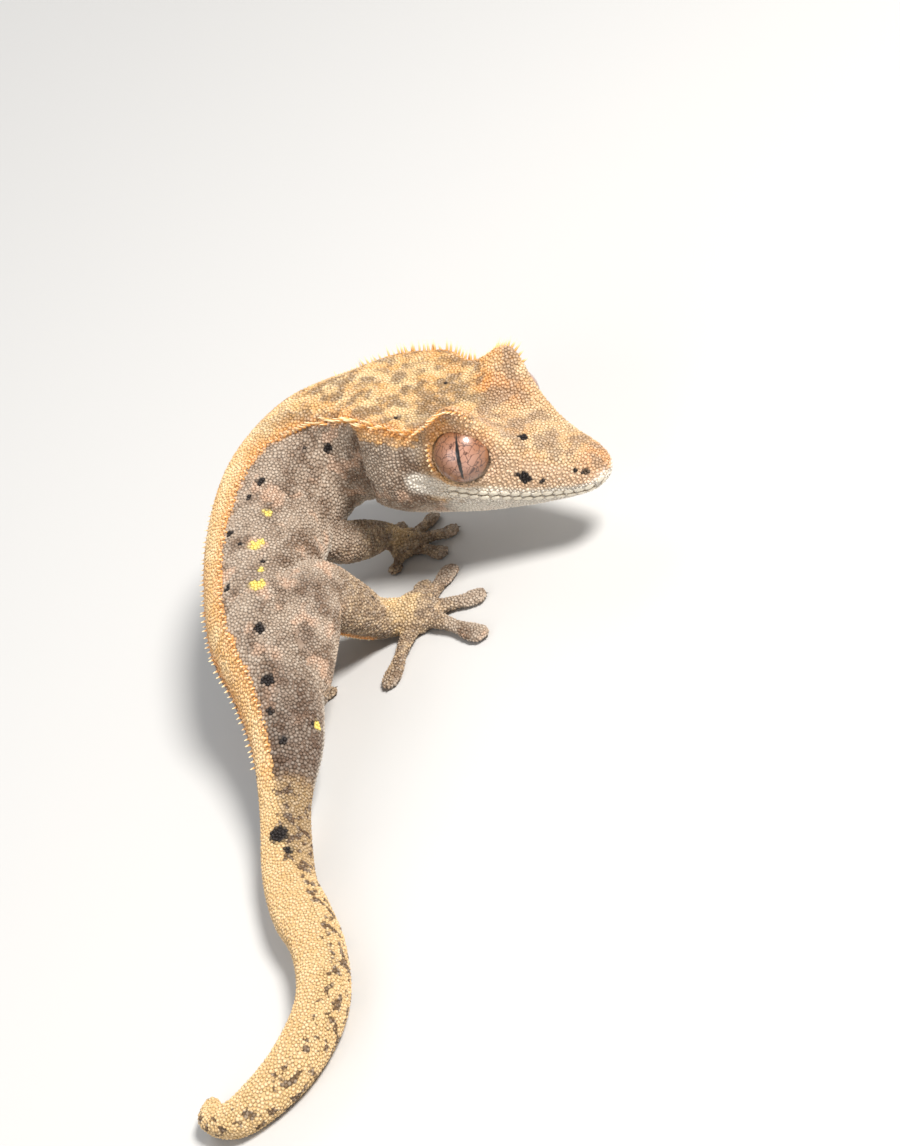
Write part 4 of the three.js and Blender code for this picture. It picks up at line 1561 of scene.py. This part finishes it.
def scale_points() -> np.ndarray:
    """Points of one scale of radius 1: a low dome with a short root."""
    turns = np.radians(np.arange(6) * 60)
    rim = np.stack([np.cos(turns), np.sin(turns), 0 * turns + 0.02], -1)
    return np.concatenate([rim, [[0, 0, 0.52]], [[0, 0, -0.34]]])


def scale_faces() -> list[tuple[int, int, int]]:
    """Faces of one scale."""
    faces = []
    for i in range(6):
        j = (i + 1) % 6
        faces.append((i, j, 6))
        faces.append((j, i, 7))
    return faces


def scale_mesh() -> bpy.types.Mesh:
    """Mesh of one scale."""
    return mesh_from("scale_form", scale_points(), scale_faces())


def smooth(mesh: bpy.types.Mesh) -> None:
    """Shades a mesh smooth."""
    mesh.polygons.foreach_set("use_smooth", [True] * len(mesh.polygons))


def turned_shape(name: str, rows: list[tuple[float, float, float]], sides: int,
                 bend: float) -> bpy.types.Object:
    """Closed turned shape with a tip attribute.

    Args:
        name: Name of the object.
        rows: Height, radius and tip value of each ring; a radius of 0 is a point.
        sides: Corners of a ring.
        bend: How far the top leans over along X.

    Returns:
        The object.
    """
    turns = np.radians(np.arange(sides) * 360 / sides)
    points = []
    tips = []
    rings = []
    for height, radius, tip in rows:
        lean = bend * max(height, 0.0) ** 2
        if radius == 0:
            rings.append([len(points)])
            points.append((lean, 0, height))
            tips.append(tip)
            continue
        rings.append(list(range(len(points), len(points) + sides)))
        points.extend((math.cos(t) * radius + lean, math.sin(t) * radius, height) for t in turns)
        tips.extend([tip] * sides)
    faces = []
    for low, high in zip(rings, rings[1:]):
        for i in range(sides):
            j = (i + 1) % sides
            corners = [low[i % len(low)], low[j % len(low)], high[j % len(high)], high[i % len(high)]]
            faces.append(tuple(dict.fromkeys(corners)))
    mesh = mesh_from(name, np.array(points), faces)
    write_attribute(mesh, "tip", np.array(tips))
    smooth(mesh)
    return new_object(name, mesh)


@dataclass(frozen=True)
class SpineSizes:
    """Sizes of the crest spines, lashes and rims, in millimetres."""

    hip: float = 8.7
    end: float = 19.6
    head_gap: float = 0.55
    back_gap: float = 0.80
    head_length: float = 1.3
    back_length: float = 0.55
    stray: float = 2.2
    brow_front: float = 12.2
    brow_reach: float = 7.0
    lash_length: float = 1.5
    lashes: int = 15
    width: float = 0.17
    sink: float = 0.3
    lid_count: int = 27
    lid_turn: float = 112.0
    lid_length: float = 0.42
    lid_growth: float = 0.22
    lid_width: tuple[float, float] = (0.17, 0.22)
    fringe_count: int = 20
    fringe_width: tuple[float, float] = (0.24, 0.20)
    fringe_length: float = 0.42


@dataclass
class Crest:
    """Two rows of spines from the hip over the neck to the brows."""

    form: BodyForm
    sizes: SpineSizes = field(default_factory=SpineSizes)
    seed: int = 11

    def build(self, cloud: Cloud, tree: Tree, finish: bpy.types.Material) -> bpy.types.Object:
        """All the spines as one mesh."""
        shape = turned_shape("spine_form", [
            (-0.35, 0.0, 0.0), (-0.2, 0.95, 0.0), (0.15, 1.0, 0.1),
            (0.5, 0.72, 0.4), (0.8, 0.42, 0.8), (1.0, 0.0, 1.0),
        ], 7, 0.35)
        rng = np.random.default_rng(self.seed)
        studs = Studs("crest")
        for side in Side:
            self.row(studs, side, rng)
            self.brow(studs, side, rng)
            self.lid(studs, side, rng)
        for leg in LEGS:
            if leg.hind:
                self.fringe(studs, leg, rng)
        return studs.build(shape, cloud, tree, finish)

    def row(self, studs: Studs, side: Side, rng: np.random.Generator) -> None:
        """Spines of one side from the hip to behind the eye."""
        form = self.form
        z = self.sizes
        u = z.hip
        end = form.station_of_head(z.end)
        while u < end:
            grow = float(step(np.array(u), 13.5, 15.6))
            length = z.back_length + (z.head_length - z.back_length) * grow
            gap = z.back_gap + (z.head_gap - z.back_gap) * grow
            angle = float(form.value("crest", np.array(u))) + rng.uniform(-z.stray, z.stray)
            self.spine(studs, u, angle * side.value, length * rng.uniform(0.75, 1.2), rng, 0.25)
            here = form.surface(np.array(u), np.array(angle * side.value))
            there = form.surface(np.array(u + 0.05), np.array(angle * side.value))
            u += 0.05 * gap * rng.uniform(0.85, 1.15) / max(float(np.linalg.norm(there - here)), 1e-3)

    def brow(self, studs: Studs, side: Side, rng: np.random.Generator) -> None:
        """Long lashes over one eye."""
        z = self.sizes
        for k in range(z.lashes):
            t = k / (z.lashes - 1)
            u = self.form.station_of_head(z.brow_front + z.brow_reach * t)
            length = z.lash_length * (0.55 + 0.45 * math.sin(math.pi * t)) * rng.uniform(0.8, 1.15)
            angle = float(self.form.value("crest", np.array(u))) + 4
            self.spine(studs, u, angle * side.value, length, rng, -0.15)

    def lid(self, studs: Studs, side: Side, rng: np.random.Generator) -> None:
        """Short pointed scales round the upper rim of one eye."""
        z = self.sizes
        skin = Skin(self.form)
        eye = skin.eye
        look = skin.eye_look(side)
        _, _, back, _ = self.form.axes(np.array(self.form.station_of_head(eye.s)))
        up = unit(back - look * float(back @ look))
        across = np.cross(up, look)
        middle = skin.eye_centre(side) + look * (eye.radius * 0.22)
        for turn in np.radians(np.linspace(-z.lid_turn, z.lid_turn, z.lid_count)):
            way = up * math.cos(turn) + across * math.sin(turn)
            at = middle + way * (eye.radius * eye.rim_share + 0.18)
            length = z.lid_length + z.lid_growth * max(math.cos(turn), 0.0) + rng.uniform(-0.05, 0.05)
            studs.add(at, unit(way + look * 0.45), look, (*z.lid_width, length))

    def fringe(self, studs: Studs, leg: Leg, rng: np.random.Generator) -> None:
        """Row of short scales behind one shin."""
        z = self.sizes
        shin = unit(np.array(leg.ankle) - np.array(leg.knee))
        points, ways = fringe_line(leg, z.fringe_count)
        for at, way in zip(points, ways):
            aim = unit(way + rng.uniform(-0.15, 0.15, 3))
            length = z.fringe_length * rng.uniform(0.8, 1.2)
            studs.add(at - way * 0.12, aim, shin, (*z.fringe_width, length))

    def spine(self, studs: Studs, u: float, angle: float, length: float, rng: np.random.Generator,
              lean: float) -> None:
        """Adds one spine.

        Args:
            studs: Set that the spine joins.
            u: Its station.
            angle: Its angle from the middle of the back.
            length: How far it stands out.
            rng: Source of the small differences.
            lean: How far it leans back, or ahead where negative.
        """
        form = self.form
        at = form.surface(np.array(u), np.array(angle))
        out = form.normal(np.array(u), np.array(angle))
        _, ahead, back, across = form.axes(np.array(u))
        stray = rng.uniform(-0.12, 0.12, 3)
        aim = unit(out + 0.35 * back + across * math.copysign(0.1, angle) - ahead * lean + stray)
        width = self.sizes.width * rng.uniform(0.85, 1.1) * (0.75 + 0.25 * min(length, 1.0))
        root = self.sizes.sink * 0.5
        studs.add(at - aim * root, aim, -ahead, (width, width * 0.85, length + root))


@dataclass
class Lips:
    """White plates along the lips."""

    form: BodyForm
    count: int = 15
    reach: float = 0.80
    upper: float = 0.46
    lower: float = 0.44
    thick: float = 0.12

    def build(self, cloud: Cloud, tree: Tree, finish: bpy.types.Material) -> bpy.types.Object:
        """All the plates as one mesh."""
        shape = turned_shape("plate_form", [
            (-0.6, 0.0, 0.0), (0.0, 1.0, 0.0), (0.55, 0.9, 0.5), (0.92, 0.55, 1.0), (1.0, 0.0, 1.0),
        ], 8, 0.0)
        studs = Studs("lips")
        for side in Side:
            face = Face(self.form, side)
            t = np.linspace(0.0, self.reach, self.count)
            u, angle = face.mouth(t)
            gap = self.reach * (face.mouth_end - 0.35) / (self.count - 1)
            for k in range(self.count):
                small = 1.0 - 0.35 * t[k]
                for way, drop in ((-1, self.upper), (1, self.lower)):
                    move = way * drop * small * side.value
                    self.plate(studs, u[k], angle[k], move, gap * 0.53, drop * 0.86 * small)
        return studs.build(shape, cloud, tree, finish)

    def plate(self, studs: Studs, u: float, angle: float, drop: float, half: float, high: float) -> None:
        """Adds one plate beside the mouth line."""
        form = self.form
        here = form.surface(np.array(u), np.array(angle))
        near = form.surface(np.array(u), np.array(angle + 1.0))
        turn = drop / max(float(np.linalg.norm(near - here)), 1e-3)
        at = form.surface(np.array(u), np.array(angle + turn))
        aim = form.normal(np.array(u), np.array(angle + turn))
        _, ahead, _, _ = form.axes(np.array(u))
        studs.add(at - aim * 0.10, aim, ahead, (half, high, self.thick))


@dataclass
class Claws:
    """A small hooked claw at the end of every toe."""

    length: float = 0.75
    width: float = 0.17

    def build(self, cloud: Cloud, tree: Tree, finish: bpy.types.Material) -> bpy.types.Object:
        """All the claws as one mesh."""
        shape = turned_shape("claw_form", [
            (-0.4, 0.0, 0.0), (-0.3, 0.9, 0.0), (0.1, 1.0, 0.3), (0.55, 0.6, 0.7), (1.0, 0.0, 1.0),
        ], 6, -1.2)
        studs = Studs("claws")
        for leg in LEGS:
            for tip in leg.toes:
                way = unit(np.array([tip[0] - leg.palm[0], tip[1] - leg.palm[1], 0.0]))
                end = np.array([tip[0], tip[1], 0.62])
                root = end - way * self.length * 0.62
                aim = unit(way + np.array([0, 0, 0.10]))
                studs.add(root, aim, np.array([0, 0, 1.0]), (self.width, self.width, self.length))
        return studs.build(shape, cloud, tree, finish)


@dataclass
class Eyeball:
    """One glossy eye."""

    skin: Skin
    side: Side
    segments: int = 72
    rings: int = 40

    def build(self, finish: bpy.types.Material) -> bpy.types.Object:
        """Sphere with the map of its iris."""
        eye = self.skin.eye
        work = bmesh.new()
        bmesh.ops.create_uvsphere(work, u_segments=self.segments, v_segments=self.rings, radius=eye.radius)
        mesh = bpy.data.meshes.new(f"eye_{self.side.name.lower()}")
        work.to_mesh(mesh)
        work.free()
        look = self.skin.eye_look(self.side)
        _, _, back, _ = self.skin.form.axes(np.array(self.skin.form.station_of_head(eye.s)))
        up = unit(back - look * float(back @ look))
        across = np.cross(up, look)
        local = coordinates(mesh)
        flat = np.stack([local @ across, local @ up], -1) / eye.radius
        front = (local @ look) > 0
        flat = np.where(front[:, None], flat, unit(flat + 1e-6))
        write_map(mesh, "Iris", flat * 0.5 + 0.5)
        write_places(mesh, local + self.skin.eye_centre(self.side))
        smooth(mesh)
        mesh.materials.append(finish)
        return new_object(mesh.name, mesh)


# Studio


@dataclass(frozen=True)
class CameraView:
    """Camera of the photograph, in the pose's own millimetres."""

    place: tuple[float, float, float] = (23.785, -217.741, 157.741)
    elevation: float = 33.0
    roll: float = 30.0
    lens: float = 78.41
    sensor: float = 36.0

    def build(self, offset: np.ndarray) -> bpy.types.Object:
        """Camera object."""
        data = bpy.data.cameras.new("camera")
        data.sensor_fit = "VERTICAL"
        data.sensor_height = self.sensor
        data.sensor_width = self.sensor
        data.lens = self.lens
        data.clip_start = 0.01
        data.clip_end = 10
        camera = bpy.data.objects.new("camera", data)
        bpy.context.scene.collection.objects.link(camera)
        bpy.context.scene.camera = camera
        e = math.radians(self.elevation)
        flat = Matrix.Rotation(math.pi / 2 - e, 4, "X")
        camera.matrix_world = (
            Matrix.Translation(Vector((np.array(self.place) + offset) * MM))
            @ flat @ Matrix.Rotation(math.radians(-self.roll), 4, "Z"))
        return camera


@dataclass(frozen=True)
class Lamp:
    """Soft area light, in metres."""

    name: str
    place: tuple[float, float, float]
    size: float
    power: float
    colour: Colour = (1.0, 1.0, 1.0)

    def build(self) -> bpy.types.Object:
        """Area light that faces the model."""
        data = bpy.data.lights.new(self.name, "AREA")
        data.shape = "DISK"
        data.size = self.size
        data.energy = self.power
        data.color = self.colour
        lamp = bpy.data.objects.new(self.name, data)
        bpy.context.scene.collection.objects.link(lamp)
        lamp.location = self.place
        lamp.rotation_mode = "QUATERNION"
        lamp.rotation_quaternion = (-Vector(self.place)).to_track_quat("-Z", "Y")
        return lamp


LAMPS = (
    Lamp("key", (0.28, -0.20, 0.46), 0.16, 4.9, (1.0, 0.98, 0.95)),
    Lamp("fill", (-0.45, -0.35, 0.30), 0.5, 1.3, (0.94, 0.97, 1.0)),
    Lamp("back", (-0.15, 0.55, 0.40), 0.4, 1.3),
)


@dataclass(frozen=True)
class Studio:
    """Pale floor and soft light."""

    floor: float = 3.0
    air: float = 0.34

    def build(self) -> None:
        """Floor, lamps and surrounding light."""
        half = self.floor / 2
        points = np.array([(-half, -half, 0), (half, -half, 0), (half, half, 0), (-half, half, 0)], float)
        mesh = bpy.data.meshes.new("floor")
        mesh.from_pydata([tuple(p) for p in points], [], [(0, 1, 2, 3)])
        mesh.materials.append(PlainFinish().make("floor_paint"))
        new_object("floor", mesh)
        for lamp in LAMPS:
            lamp.build()
        world = bpy.data.worlds.new("air")
        world.use_nodes = True
        world.node_tree.nodes["Background"].inputs["Color"].default_value = (0.95, 0.97, 1.0, 1.0)
        world.node_tree.nodes["Background"].inputs["Strength"].default_value = self.air
        bpy.context.scene.world = world
        bpy.context.scene.view_settings.view_transform = "Standard"


COATS = (
    ScaleCoat(Zone.TAIL, 0.33, 1),
    ScaleCoat(Zone.TRUNK, 0.38, 2),
    ScaleCoat(Zone.HEAD, 0.34, 3),
    ScaleCoat(Zone.LIMB, 0.33, 4),
)


class Gecko:
    """The whole animal, put together in the model's frame."""

    bare_sole = 0.28
    bare_eye = 0.02
    bare_mouth = 0.22
    bare_nostril = 0.42
    bare_ear = 0.45
    spans = {Zone.TAIL: (-1, 8.3), Zone.TRUNK: (8.3, 16.0), Zone.HEAD: (16.0, 99)}

    def __init__(self) -> None:
        """Finds where the pose lies in the model's frame."""
        self.form = BodyForm()
        self.skin = Skin(self.form)
        self.marks = Markings(self.form)
        low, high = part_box("right_eye")
        middle = np.array((low + high) / 2) / MM
        self.offset = middle - self.skin.eye_centre(Side.RIGHT)
        self.offset[2] = 0.0
        log.info("offset %s mm", np.round(self.offset, 3))

    def zones(self, obj: bpy.types.Object, place: dict[str, np.ndarray]) -> None:
        """Writes where the scales of each zone grow."""
        co = coordinates(obj.data)
        clear = (co[:, 2] > self.bare_sole).astype(float)
        for side in Side:
            away = np.linalg.norm(co - self.skin.eye_centre(side), axis=1)
            clear *= away > self.skin.eye.radius + self.bare_eye
            face = Face(self.form, side)
            clear *= face.from_mouth(co) > self.bare_mouth
            clear *= face.from_nostril(co) > self.bare_nostril
            clear *= face.from_ear(co) > self.bare_ear
        body = place["part"] == 0
        u = place["station"]
        for zone, (low, high) in self.spans.items():
            write_attribute(obj.data, f"zone_{zone.value}", clear * (body & (u >= low) & (u < high)))
        write_attribute(obj.data, "zone_limb", clear * ~body)

    def settle(self, obj: bpy.types.Object, slot: str, nodes: tuple[str, ...] = ()) -> None:
        """Moves a piece into the model's frame, joins it to the body and hides the imported nodes that it
        replaces.
        """
        co = (coordinates(obj.data) + self.offset) * MM
        co[:, 2] = np.maximum(co[:, 2], 0.0)
        write_places(obj.data, co)
        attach(obj, BODY)
        if nodes:
            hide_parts(*nodes)
        log.info("%s: %d vertices", obj.name, len(obj.data.vertices))

    def build(self) -> None:
        """Every piece of the animal."""
        skin = self.skin.build()
        place = self.skin.cloud.read(coordinates(skin.data))
        masks = self.marks.masks(coordinates(skin.data), place["station"], place["angle"], place["part"])
        for name, values in masks.items():
            write_attribute(skin.data, name, values)
        self.zones(skin, place)
        hide = HideFinish()
        scales = hide.make("scales", False)
        strew = scale_tree()
        studs = stud_tree()
        horn = SpineFinish().make("horn")
        coats = [coat.build(skin, self.skin.cloud, self.marks, strew, scales) for coat in COATS]
        smooth(skin.data)
        skin.data.materials.clear()
        skin.data.materials.append(hide.make("hide", True))
        flesh = [n for n in frame_nodes() if not n.endswith("_eye")]
        self.settle(skin, "skin", tuple(flesh))
        for coat in coats:
            self.settle(coat, "skin")
        plates = SpineFinish(srgb(206, 188, 160), srgb(238, 228, 208)).make("lip_plates")
        nail = SpineFinish(srgb(120, 96, 70), srgb(60, 44, 34)).make("claw_horn")
        self.settle(Crest(self.form).build(self.skin.cloud, studs, horn), "skin")
        self.settle(Lips(self.form).build(self.skin.cloud, studs, plates), "skin")
        self.settle(Claws().build(self.skin.cloud, studs, nail), "skin")
        iris = EyeFinish().make("iris")
        for side in Side:
            self.settle(Eyeball(self.skin, side).build(iris), "eye", (f"{side.name.lower()}_eye",))


def frame_nodes() -> list[str]:
    """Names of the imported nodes."""
    legs = []
    for leg in LEGS:
        parts = ("thigh", "shin", "foot") if leg.hind else ("upper_arm", "forearm", "hand")
        legs.extend(f"{leg.name}_{part}" for part in parts)
    return ["tail_tip", "tail_middle", "tail_base", "torso_rear", "torso_front", "neck", "head", *legs]


def main() -> None:
    """Builds the model and its studio."""
    logging.basicConfig(level=logging.INFO, format="%(levelname)s %(message)s")
    gecko = Gecko()
    gecko.build()
    Studio().build()
    CameraView().build(gecko.offset)


if __name__ == "__main__":
    main()
